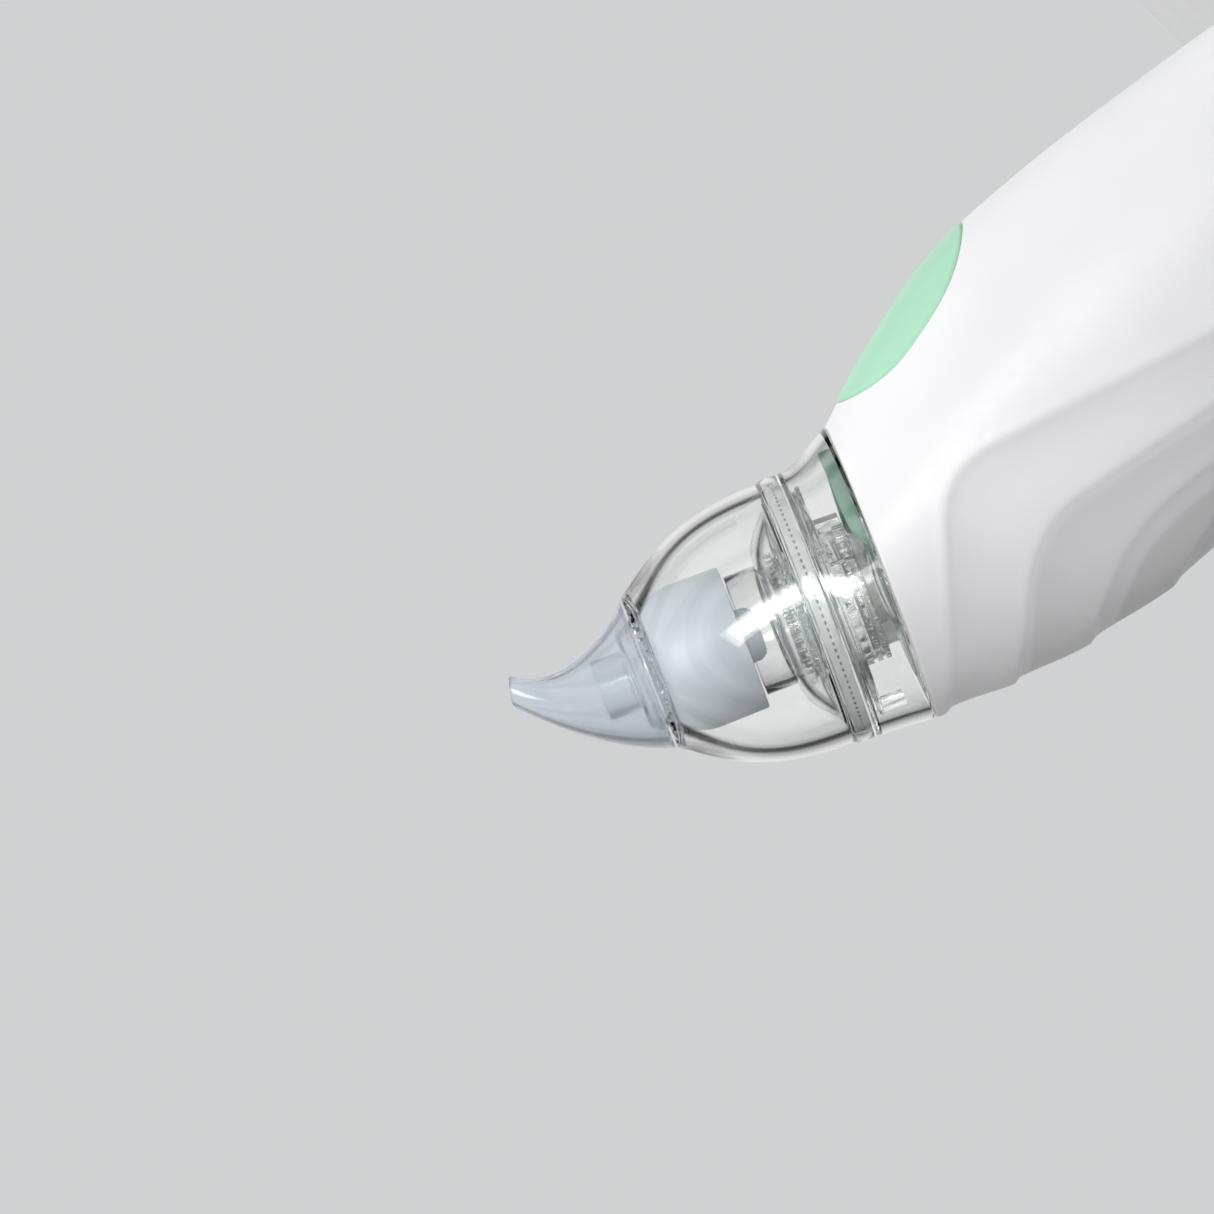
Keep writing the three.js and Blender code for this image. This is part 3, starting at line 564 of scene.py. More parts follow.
def soft_silicone(name, colour, through=0.35, roughness=0.4, under=0.0, dashes=False):
    """Translucent silicone: milky, with soft gloss, slight clouding and a fine matt skin; it may carry a
    row of dark dashes."""
    n = Nodes(name).set(IOR=1.42, Transmission_Weight=through, Subsurface_Weight=under)
    n.shader.inputs["Subsurface Radius"].default_value = (0.004, 0.005, 0.006)
    clouds = n.noise(90, detail=1.0)
    tint = n.tint(n.spread(clouds, 0, 1), shade(colour, 0.97), shade(colour, 1.02))
    if dashes:
        mark = n.add("ShaderNodeAttribute", attribute_name="dash").outputs[2]
        dark = n.add("ShaderNodeMix", data_type="RGBA")
        n.tree.links.new(mark, dark.inputs[0])
        n.tree.links.new(tint, dark.inputs[6])
        dark.inputs[7].default_value = (*shade(colour, 0.12), 1)
        tint = dark.outputs[2]
    n.link(tint, "Base Color")
    n.link(n.spread(n.noise(500), roughness - 0.03, roughness + 0.03), "Roughness")
    n.link(n.relief(n.noise(260, detail=2.0), 0.06, 0.00004), "Normal")
    if through > 0.3:
        let_light_in(n, shade(colour, 0.9))
    return n.material


def metal(name, colour, roughness=0.3, grain=900):
    """Drawn or turned metal: gloss broken by fine lines along the height."""
    n = Nodes(name).set(Metallic=1.0)
    stretched = n.add("ShaderNodeMapping", {"Vector": n.place()})
    stretched.inputs["Scale"].default_value = (1, 1, 0.05)
    lines = n.add("ShaderNodeTexNoise", {"Vector": stretched.outputs[0]}, Scale=grain,
                  Detail=3.0).outputs["Fac"]
    n.link(n.tint(n.spread(lines, 0, 1), shade(colour, 0.9), shade(colour, 1.05)), "Base Color")
    n.link(n.spread(lines, roughness - 0.08, roughness + 0.12), "Roughness")
    n.link(n.relief(lines, 0.08, 0.00003), "Normal")
    return n.material


def felt(name, colour):
    """Open felt or foam: coarse and fine noise in colour and height, with a little sheen."""
    n = Nodes(name).set(Roughness=0.95, Sheen_Weight=0.3)
    coarse, fine = n.noise(900, detail=6.0, roughness=0.7), n.noise(3500, detail=2.0)
    n.link(n.tint(n.spread(fine, 0, 1), shade(colour, 0.75), colour), "Base Color")
    n.link(n.relief(coarse, 0.6, 0.0002), "Normal")
    return n.material


def circuit(name, colour):
    """Solder mask over copper: straight tracks from a brick pattern, a shade lighter than the board."""
    n = Nodes(name).set(Roughness=0.35)
    tracks = n.add("ShaderNodeTexBrick", {"Vector": n.place()}, Scale=260.0)
    tracks.inputs["Color1"].default_value = (*colour, 1)
    tracks.inputs["Color2"].default_value = (*shade(colour, 1.25), 1)
    tracks.inputs["Mortar"].default_value = (*shade(colour, 2.2), 1)
    tracks.inputs["Mortar Size"].default_value = 0.012
    n.link(tracks.outputs["Color"], "Base Color")
    n.link(n.relief(tracks.outputs["Fac"], 0.2, 0.00005), "Normal")
    return n.material


FINISHES = {}


def finish(name):
    """The finish of that name, made once from the colours of the scene."""
    if name not in FINISHES:
        colours = bpy.context.scene.aspirator_colours
        silicone, mint = tuple(colours.silicone), tuple(colours.mint)
        makers = {
            # the white shell carries painted shade on its grip layers (layers=0.31)
            "white shell": lambda: moulded(name, tuple(colours.shell), 0.42, 0.045, layers=0.31),
            "mint plastic": lambda: moulded(name, mint, 0.38, 0.04, subsurface=0.1),
            # painted refraction: the neck ring's darker mint stands in for green surroundings seen through
            # the clear collar
            "painted refraction mint": lambda: moulded(name, shade(mint, 0.52), 0.45, 0.06),
            "nozzle silicone": lambda: soft_silicone(name, (0.81, 0.85, 0.89), 0.80, 0.10),
            "stopper silicone": lambda: soft_silicone(name, silicone, 0.0, 0.38, under=0.2),
            "gasket silicone": lambda: soft_silicone(name, (0.93, 0.95, 0.94), 0.62, 0.2, dashes=True),
            "clear cup": lambda: clear_plastic(name, tuple(colours.clear)),
            "clear collar": lambda: clear_plastic(name, tuple(colours.clear), 1.57),
            "soft white": lambda: moulded(name, (0.82, 0.82, 0.84), 0.55, 0.08, subsurface=0.1),
            "black rubber": lambda: moulded(name, (0.02, 0.02, 0.022), 0.7, 0.2),
            "black plastic": lambda: moulded(name, (0.025, 0.026, 0.028), 0.45, 0.12),
            "frame plastic": lambda: moulded(name, (0.66, 0.66, 0.64), 0.5, 0.1),
            "hose silicone": lambda: soft_silicone(name, (0.7, 0.74, 0.75), 0.4, 0.35),
            "filter felt": lambda: felt(name, (0.86, 0.86, 0.84)),
            "circuit board": lambda: circuit(name, (0.02, 0.13, 0.06)),
            "cell sleeve": lambda: moulded(name, (0.04, 0.16, 0.42), 0.3, 0.03, coat=0.4),
            "lamp body": lambda: moulded(name, (0.9, 0.86, 0.62), 0.2, 0.02, subsurface=0.3),
            "drawn steel": lambda: metal(name, (0.62, 0.63, 0.64), 0.32),
            "turned brass": lambda: metal(name, (0.7, 0.5, 0.22), 0.28),
        }
        FINISHES[name] = makers[name]()
    return FINISHES[name]


# ------------------------------------------------------------------ stage
BACKDROP = (0.63, 0.64, 0.645)
FILL_AHEAD = 0.86
FILL_FRONT = 0.86
FILL_ROUND = 0.03
STUDIO_WALLS = [(0.0, 0.9), (0.22, 0.85), (0.27, 0.05), (0.40, 0.03), (0.46, 0.8), (0.60, 0.85),
                (0.66, 0.05), (0.80, 0.04), (0.87, 0.7), (1.0, 0.85)]


# name, place, width and height in metres, power in watts
SOFT_LIGHTS = [
    ("key", (-0.45, -0.75, 0.30), 0.55, 0.9, 1.75),
    ("top", (-0.10, -0.25, 0.85), 0.7, 0.5, 0.8),
    ("back", (0.55, -0.35, 0.35), 0.5, 0.5, 0.8),
    ("rim", (0.60, 0.45, 0.10), 0.3, 0.6, 0.45),
]
# strips one before the other, whose gleam is brightest in the middle: name, x, width, height, power
GLEAM_STRIPS = [
    ("wide strip", -0.85, 0.30, 0.85, 2.2),
    ("middle strip", -0.84, 0.21, 0.66, 1.8),
    ("core strip", -0.83, 0.12, 0.50, 1.1),
]


def studio_world(world):
    """Pale even backdrop for the eye; a dim side and a bright side for soft light; and for what is
    mirrored in or bent through the clear pieces a studio of bright walls with a dark gap all round, 45 to
    65 degrees off the x axis."""
    world.use_nodes = True
    tree = world.node_tree
    tree.nodes.clear()

    def add(kind, *sources, **settings):
        node = tree.nodes.new(kind)
        for key, value in settings.items():
            setattr(node, key, value)
        for socket, source in enumerate(sources):
            if isinstance(source, bpy.types.NodeSocket):
                tree.links.new(source, node.inputs[socket])
            elif source is not None:
                node.inputs[socket].default_value = source
        return node

    def ramp(value, stops):
        node = add("ShaderNodeValToRGB", value)
        while len(node.color_ramp.elements) < len(stops):
            node.color_ramp.elements.new(0.5)
        for element, (position, grey) in zip(node.color_ramp.elements, stops):
            element.position = position
            element.color = (grey, grey, grey, 1)
        return node.outputs[0]

    def mixed(factor, first, second):
        node = add("ShaderNodeMix", factor, data_type="RGBA")
        for socket, source in ((6, first), (7, second)):
            if isinstance(source, bpy.types.NodeSocket):
                tree.links.new(source, node.inputs[socket])
            else:
                node.inputs[socket].default_value = (*source, 1)
        return node.outputs[2]

    axes = add("ShaderNodeSeparateXYZ", add("ShaderNodeTexCoord").outputs["Generated"]).outputs
    across = add("ShaderNodeMath", axes["X"], operation="ABSOLUTE").outputs[0]
    walls = ramp(across, STUDIO_WALLS)
    behind = add("ShaderNodeMapRange", axes["Y"], 0.15, 0.75, 1.0, 0.2).outputs[0]
    walls = mixed(behind, (0, 0, 0), walls)
    ahead = add("ShaderNodeMapRange", axes["X"], -1.0, 0.25, FILL_AHEAD, 0.0).outputs[0]
    front = add("ShaderNodeMapRange", axes["Y"], -1.0, 0.2, FILL_FRONT, 0.0).outputs[0]
    fill = add("ShaderNodeMath", add("ShaderNodeMath", ahead, front).outputs[0], FILL_ROUND).outputs[0]
    paths = add("ShaderNodeLightPath").outputs
    diffuse = mixed(paths["Is Diffuse Ray"], walls, (1, 1, 1))
    diffuse_node = diffuse.node
    tree.links.new(fill, diffuse_node.inputs[7])
    seen = mixed(paths["Is Camera Ray"], diffuse, BACKDROP)
    background = add("ShaderNodeBackground", seen, 1.0)
    add("ShaderNodeOutputWorld", background.outputs[0])


def soft_light(name, place, target, width, height, power, gleams=False):
    """Rectangular studio light turned towards a target: it lights only, or is only seen as a gleam."""
    data = bpy.data.lights.new(name, "AREA")
    data.shape = "RECTANGLE"
    data.size, data.size_y = width, height
    data.energy = power
    light = bpy.data.objects.new(name, data)
    light.location = place
    light.rotation_euler = (Vector(target) - Vector(place)).to_track_quat("-Z", "Y").to_euler()
    light.visible_diffuse = not gleams
    light.visible_glossy = gleams
    light.visible_transmission = gleams
    bpy.context.scene.collection.objects.link(light)


class ASPIRATOR_OT_stage(bpy.types.Operator):
    """Camera, pale floor, backdrop and studio lights"""
    bl_idname = "aspirator.stage"
    bl_label = "Stage"

    def execute(self, context):
        stage = sizes(context, "stage")
        scene = context.scene
        target = (HEAD_ORIGIN + np.array([0, -20.65, 19.65])) * MM
        camera = bpy.data.objects.new("camera", bpy.data.cameras.new("camera"))
        back = Vector((-1, 0, 0))
        up = Vector((0, -math.sin(stage.roll), math.cos(stage.roll)))
        right = up.cross(back)
        turn = Matrix((right, up, back)).transposed()
        camera.matrix_world = Matrix.Translation(Vector(target) + back * stage.distance) @ turn.to_4x4()
        camera.data.sensor_width = 36
        camera.data.lens = 36 * stage.distance / stage.view_width
        scene.collection.objects.link(camera)
        scene.camera = camera
        scene.world = bpy.data.worlds.new("studio")
        studio_world(scene.world)
        scene.view_settings.view_transform = "Standard"
        scene.cycles.max_bounces = 24
        scene.cycles.transmission_bounces = 24
        scene.cycles.glossy_bounces = 8
        head = tuple(HEAD_ORIGIN * MM)
        for name, place, width, height, power in SOFT_LIGHTS:
            soft_light(name, place, head, width, height, power)
        for name, x, width, height, power in GLEAM_STRIPS:
            soft_light(name, (x, -0.27, 0.22), head, width, height, power, gleams=True)
        self.floor(stage)
        return {"FINISHED"}

    def floor(self, stage):
        """Round pale floor: a disc of rings whose rim rolls down a little."""
        rings = np.concatenate([np.linspace(0, 0.96, 12), [0.985, 1.0, 1.0]])
        drop = np.concatenate([np.zeros(12), [0.0008, 0.004, 0.012]])
        angle = np.linspace(0, 2 * np.pi, 128, endpoint=False)
        r = rings * stage.floor_radius
        grid = np.stack([np.outer(np.cos(angle), r), np.outer(np.sin(angle), r),
                         np.broadcast_to(-drop - 0.0002, (128, len(r)))], axis=-1)
        material = moulded("floor paper", (0.84, 0.845, 0.85), 0.8, 0.02)
        floor = finished("floor", grid.reshape(-1, 3), grid_faces(128, len(r), True, False), material)


# ------------------------------------------------------------------ handle
class ASPIRATOR_OT_shells(bpy.types.Operator):
    """Left and right handle shells with their stepped grip layers"""
    bl_idname = "aspirator.shells"
    bl_label = "Handle shells"

    def execute(self, context):
        for name, side in (("left_shell", -1), ("right_shell", 1)):
            piece = self.shell(context, name, side)
            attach(piece, "handle")
            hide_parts(name)
        return {"FINISHED"}

    def shell(self, context, name, side):
        """Outer skin and inner skin of one half on one grid: both are the handle surface, the inner one
        set in by the wall; near every rim the outer skin rolls in by a quarter circle."""
        handle = sizes(context, "handle")
        t = clustered(handle.rows)[:, None]
        t = t + 0.14 * np.sin(np.pi * t) ** 2
        a = np.pi * np.interp(clustered(handle.columns), [0, 0.2, 1], [0, 0.39, 1])[None, :]
        t, a = np.broadcast_arrays(t, a)
        x, y, z = handle_surface(t, a, 0.0, handle)
        to_rim = np.minimum(np.minimum(t, 1 - t) * HANDLE_RUN, np.abs(x))
        bare = np.clip(handle.edge - to_rim, 0, handle.edge)
        roll = handle.edge - np.sqrt(np.clip(handle.edge ** 2 - bare ** 2, 0, None))
        x, y, z = handle_surface(t, a, roll, handle)
        outer = np.stack([np.maximum(x, handle.seam / 2) * side, y, z], axis=-1)
        x, y, z = handle_surface(t, a, handle.wall, handle)
        inner = np.stack([np.maximum(x, handle.seam / 2) * side, y, z], axis=-1)
        points = np.concatenate([outer, inner[:, ::-1]], axis=1)
        # painted shade of the grip layers, passed to the material in the layer attribute
        layer = grip_painted_shade(y, z, handle)
        layer = np.concatenate([layer, layer[:, ::-1]], axis=1)
        rows, columns = points.shape[:2]
        quads = grid_faces(rows, columns, False, True)
        j = np.arange(columns // 2 - 1)
        low = np.stack([j, j + 1, columns - 2 - j, columns - 1 - j], axis=-1)
        quads = np.concatenate([quads, low, low[:, ::-1] + (rows - 1) * columns])
        piece = finished(name + "_fine", points.reshape(-1, 3) * MM, quads, finish("white shell"), 40,
                         {"layer": layer})
        for cutter in (button_cutter(context), port_cutter(context)):
            cut(piece, cutter)
        piece.data.shade_smooth()
        piece.data.set_sharp_from_angle(angle=math.radians(32))
        return piece


def prism(name, x, z, y_low, y_high, middle):
    """Closed prism along y over an outline, for cutting."""
    ring = np.stack([x, np.zeros_like(x), z + middle], axis=-1)
    centre = np.array([0, 0, middle])[None, :] * np.ones_like(ring)
    rows = [centre, ring, ring, centre]
    grid = np.stack([r + np.array([0, y, 0]) for r, y in zip(rows, (y_low, y_low, y_high, y_high))], axis=0)
    return finished(name, grid.reshape(-1, 3) * MM, grid_faces(4, len(x), False, True),
                    finish("white shell"))


def button_cutter(context):
    """Prism of the button's opening."""
    button = sizes(context, "button")
    angle = np.linspace(0, 2 * np.pi, 200, endpoint=False)
    x, z = oval(angle, button.half_width + button.slot, button.half_height + button.slot, button.squareness)
    return prism("button_cutter", x, z, -36, -16, button.middle)


PORT_HALF = (6.7, 3.7)
PORT_SLOT = 0.45
PORT_POWER = 3.0


def port_middle():
    """Height of the charging port's middle, from its socket."""
    low, high = box_mm("charging_socket")
    return (low[2] + high[2]) / 2


def port_cutter(context):
    """Prism of the charging port's opening."""
    angle = np.linspace(0, 2 * np.pi, 120, endpoint=False)
    x, z = oval(angle, PORT_HALF[0] + PORT_SLOT, PORT_HALF[1] + PORT_SLOT, PORT_POWER)
    return prism("port_cutter", x, z, 15, 34, port_middle())


def cut(piece, cutter):
    """Cuts the cutter out of the piece and deletes the cutter."""
    modifier = piece.modifiers.new("cut", "BOOLEAN")
    modifier.object = cutter
    modifier.solver = "EXACT"
    bpy.context.view_layer.update()
    result = bpy.data.meshes.new_from_object(piece.evaluated_get(bpy.context.evaluated_depsgraph_get()))
    piece.modifiers.clear()
    piece.data = result
    bpy.data.objects.remove(cutter)


def pad(name, half, power, middle, side, lift, depth_of, handle, material, edge):
    """Oval pad on the handle's face: rings of the oval scaled from its middle to its rim, on the face and
    again at the back; near the rim the face rolls in by a quarter circle."""
    angle = np.linspace(0, 2 * np.pi, 160, endpoint=False)[None, :]
    reach = min(half)
    scale = np.concatenate([np.linspace(0, 1 - 1.2 * edge / reach, 36),
                            1 - edge / reach * np.linspace(1, 0, 9) ** 2])
    scale = scale[:, None]
    ox, oz = oval(angle, half[0], half[1], power)
    x, z = ox * scale, oz * scale + middle
    face = face_height(x, z, side, handle)
    bare = np.clip(1 - (1 - scale) * reach / edge, 0, 1)
    roll = edge * (1 - np.sqrt(np.clip(1 - bare ** 2, 0, 1)))
    front = np.stack([x, face + side * (lift - roll), z], axis=-1)
    back = np.stack([x, depth_of(face), z], axis=-1)
    points = np.concatenate([front, back[::-1]], axis=0)
    rows, columns = points.shape[:2]
    quads = grid_faces(rows, columns, False, True)
    return finished(name, points.reshape(-1, 3) * MM, quads, material, 40)


class ASPIRATOR_OT_button(bpy.types.Operator):
    """Mint thumb button that follows the handle's front"""
    bl_idname = "aspirator.button"
    bl_label = "Thumb button"

    def execute(self, context):
        button = sizes(context, "button")
        back_y = box_mm("thumb_button")[1][1]
        piece = pad("thumb_button_fine", (button.half_width, button.half_height), button.squareness,
                    button.middle, -1, button.lift, lambda face: np.full_like(face, back_y),
                    sizes(context, "handle"), finish("mint plastic"), 0.5)
        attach(piece, "thumb_button")
        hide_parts("thumb_button")
        return {"FINISHED"}


class ASPIRATOR_OT_port(bpy.types.Operator):
    """Soft cover of the charging port"""
    bl_idname = "aspirator.port"
    bl_label = "Port cover"

    def execute(self, context):
        piece = pad("port_cover_fine", PORT_HALF, PORT_POWER, port_middle(), 1, -0.05,
                    lambda face: face - 1.4, sizes(context, "handle"), finish("soft white"), 0.4)
        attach(piece, "port_cover")
        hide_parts("port_cover")
        return {"FINISHED"}


class ASPIRATOR_OT_base(bpy.types.Operator):
    """Base cap and foot pad"""
    bl_idname = "aspirator.base"
    bl_label = "Base"

    def execute(self, context):
        handle = sizes(context, "handle")
        top = box_mm("base_cap")[1][2]
        low = box_mm("base_cap")[0][2]
        cap = [(0.0, low), (0.80, low), (0.86, low + 0.12), (0.92, low + 0.75), (0.962, low + 1.7),
               (0.985, low + 2.6), (0.995, top - 0.25), (0.985, top), (0.0, top)]
        foot_top = box_mm("foot_pad")[1][2]
        foot = [(0.0, 0.0), (0.735, 0.0), (0.762, 0.12), (0.772, 0.4), (0.772, foot_top), (0.0, foot_top)]
        for name, levels, material in (("base_cap", cap, "white shell"),
                                       ("foot_pad", foot, "stopper silicone")):
            scale, height = np.array(levels).T
            angle = np.linspace(-np.pi, np.pi, 160, endpoint=False)
            x, y, _ = handle_surface(np.zeros_like(angle), np.abs(angle), 0.0, handle)
            x = x * np.sign(angle + 1e-12)
            grid = np.stack([np.outer(scale, x), np.outer(scale, y), np.outer(height, np.ones_like(x))],
                            axis=-1)
            piece = finished(name + "_fine", grid.reshape(-1, 3) * MM,
                             grid_faces(len(scale), 160, False, True), finish(material), 50)
            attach(piece, "handle")
            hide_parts(name)
        return {"FINISHED"}


# ------------------------------------------------------------------ head
class ASPIRATOR_OT_nozzle(bpy.types.Operator):
    """Soft beak nozzle"""
    bl_idname = "aspirator.nozzle"
    bl_label = "Nozzle"

    FRONT = [[-11.2, 24.4], [-6.2, 29.5], [-2.2, 37.0], [-6.9, 42.9]]
    BACK = [[11.2, 24.4], [9.6, 30.5], [3.6, 38.5], [-2.6, 43.9]]

    def execute(self, context):
        """Circles that span the front and back lines, outside from the base to the mouth and inside back
        again; the lip at the mouth is a half circle between the two."""
        rows = 90
        t = np.linspace(0, 1, rows)
        front, back = bezier(self.FRONT, rows), bezier(self.BACK, rows)
        wall = 1.6 + (0.72 - 1.6) * smoothstep(t, 0.0, 0.85)
        lip = wall[-1] / 2
        outer_in = lip - np.sqrt(np.clip(lip ** 2 - np.clip(lip - (1 - t) * 24, 0, lip) ** 2, 0, None))
        outer = self.circles(front, back, outer_in)
        inner = self.circles(front, back, np.maximum(wall - outer_in * 0.98, lip))[::-1]
        grid = np.concatenate([outer, inner], axis=0)
        rows, columns = grid.shape[:2]
        part = (from_head(grid).reshape(-1, 3), grid_faces(rows, columns, True, True))
        head_piece("nozzle_tip_fine", [part], finish("nozzle silicone"), "nozzle", ["nozzle_tip"], 50)
        return {"FINISHED"}

    def circles(self, front, back, inset, count=120):
        """Circle on each pair of front and back points, set in by a little."""
        angle = np.linspace(0, 2 * np.pi, count, endpoint=False)[None, :]
        span = back - front
        length = np.linalg.norm(span, axis=1)
        radius = (length / 2 - inset)[:, None]
        across, middle = span / length[:, None], (front + back) / 2
        reach = radius * np.cos(angle)
        return np.stack([radius * np.sin(angle), middle[:, :1] + across[:, :1] * reach,
                         middle[:, 1:] + across[:, 1:] * reach], axis=-1)


def cup_line(head, inset, count):
    """Outline of the cup from its rear ring to its nose, set in by a little."""
    tip = [head.tip_radius - inset, head.cup_length - inset]
    rear = head.cup_radius - inset
    return bezier([[rear, 0.6], [rear, 10], [17.9 - inset, 15.4], tip], count)


POCKETS = 32


class ASPIRATOR_OT_cup(bpy.types.Operator):
    """Clear collection cup"""
    bl_idname = "aspirator.cup"
    bl_label = "Collection cup"

    def execute(self, context):
        """Outline of the wall, the nose ring with its neck and spout and the skirt, turned about the
        axis; a ring of small pockets is pressed into the nose from inside."""
        head = sizes(context, "head")
        tip = head.cup_length
        neck = head.tip_radius - 3.1
        outer = cup_line(head, 0, 44)
        inner = cup_line(head, head.cup_wall, 40)[::-1]
        nose = softened([[neck, tip], [neck, tip + 1.1], [neck - 1.0, tip + 2.3], [4.4, tip + 2.5],
                         [4.4, tip + 7.1], [3.5, tip + 7.1], [3.5, tip + 1.7], [6.3, tip + 1.3],
                         [7.0, tip + 0.4], [7.0, tip - head.cup_wall], [7.7, tip - head.cup_wall],
                         [8.0, tip - head.cup_wall + 0.05], [9.1, tip - head.cup_wall + 0.05]], 0.12, 4)
        rim = head.skirt_radius
        skirt = softened([[rim - 1.1, 0.5], [rim - 1.1, -2.4], [rim, -2.4], [rim, 0.1], [rim - 0.25, 0.3],
                          [rim - 0.25, 0.55]], 0.1)

        def pockets(angle, r, z):
            """Square pockets between the spout and the wall, 0.8 mm deep."""
            on_face = (r > 7.9) * (r < 9.2) * (np.abs(z - tip + head.cup_wall) < 0.1)
            return 0, 0.45 * on_face * smoothstep(np.cos(angle * POCKETS), -0.3, 0.1)

        profile = np.concatenate([outer, nose[2:], inner, skirt[1:-1]])
        parts = [turned(profile, POCKETS * 8, ripple=pockets)]
        head_piece("collection_cup_fine", parts, finish("clear cup"), "cup", ["collection_cup"], 30)
        return {"FINISHED"}


class ASPIRATOR_OT_stopper(bpy.types.Operator):
    """Silicone stopper in the cup's nose"""
    bl_idname = "aspirator.stopper"
    bl_label = "Backflow stopper"

    def execute(self, context):
        """Cylinder with a domed front and a slotted nub behind; the slot is a dip of the nub's radius on
        two sides."""
        head = sizes(context, "head")
        dome = bezier([[10.75, 17.6], [10.75, 20.0], [10.3, 21.4], [8.9, 22.2]], 16)
        corners = [[8.9, 22.2], [1.6, 22.4], [1.6, 6.9], [3.3, 6.9], [4.0, 7.7], [4.0, 9.8], [10.55, 9.8]]
        profile = np.concatenate([dome, softened(corners, 0.25)[3:-2], [[10.6, 10.1]]])

        def slot(angle, r, z):
            """Dip of the nub beside two flats."""
            on_nub = smoothstep(9.6 - z, 0.0, 0.3) * smoothstep(r, 2.4, 2.9)
            return -1.1 * on_nub * smoothstep(np.abs(np.sin(angle + 0.35)), 0.93, 0.975), 0

        head_piece("backflow_stopper_fine", [turned(profile, head.segments, ripple=slot)],
                   finish("stopper silicone"), "head", ["backflow_stopper"], 40)
        return {"FINISHED"}


DASHES = 112
SEAT_TEETH = 40


class ASPIRATOR_OT_separator(bpy.types.Operator):
    """Clear separator with its stem, and the gasket round it"""
    bl_idname = "aspirator.separator"
    bl_label = "Separator and gasket"

    def execute(self, context):
        head = sizes(context, "head")
        dome = bezier([[16.7, 0.9], [14.6, 1.3], [13.2, 4.9], [8.9, 4.95]], 18)
        hollow = bezier([[7.9, 3.95], [12.2, 3.9], [13.6, 0.5], [15.6, -0.3]], 18)
        stem = softened([[8.9, 4.95], [8.9, 9.5], [7.9, 9.5], [7.9, 3.95]], 0.12, 4)[4:-4]
        seat = softened([[15.6, -0.3], [15.6, -0.8], [10.2, -0.8], [10.2, 0.9], [9.1, 0.9], [9.1, 1.7],
                         [9.9, 1.7], [9.9, 3.2], [8.2, 3.2], [8.2, -1.0], [6.6, -1.0], [6.6, -2.4],
                         [16.7, -2.4], [16.7, 0.9]], 0.08, 3)[3:-3]
        profile = np.concatenate([dome, stem, hollow, seat])

        def comb(angle, r, z):
            """Square teeth on both steps of the valve seat and finer ones on the hub."""
            seat_teeth = (r > 9.5) * (r < 10.3) * (z > -0.7) * (z < 3.3)
            hub_teeth = (r < 6.8) * (z < -0.9)
            wave = smoothstep(np.cos(angle * SEAT_TEETH), -0.25, 0.1)
            return (0.8 * hub_teeth - 0.62 * seat_teeth) * wave, 0

        parts = [turned(profile, SEAT_TEETH * 8, ripple=comb)]
        head_piece("cup_separator_fine", parts, finish("clear collar"), "head", ["cup_separator"])
        segments = DASHES * 10
        band = softened([[17.0, -2.3], [18.5, -2.3], [18.5, -1.42], [18.5, -1.25], [18.5, -1.08],
                         [18.5, -0.2], [17.0, -0.2]], 0.12)
        angle = np.linspace(0, 2 * np.pi, segments, endpoint=False)[:, None]
        on_row = np.exp(-((band[None, :, 1] + 1.25) / 0.13) ** 2) * smoothstep(band[None, :, 0], 18.2, 18.4)
        dash = on_row * smoothstep(np.cos(angle * DASHES), -0.1, 0.3)

        def dents(turn, r, z):
            """Shallow dent under each dash."""
            return -0.12 * dash, 0

        head_piece("cup_gasket_fine", [turned(band, segments, ripple=dents)], finish("gasket silicone"),
                   "head", ["cup_gasket"], 60, fields={"dash": dash})
        return {"FINISHED"}


SOCKET_TEETH = 26


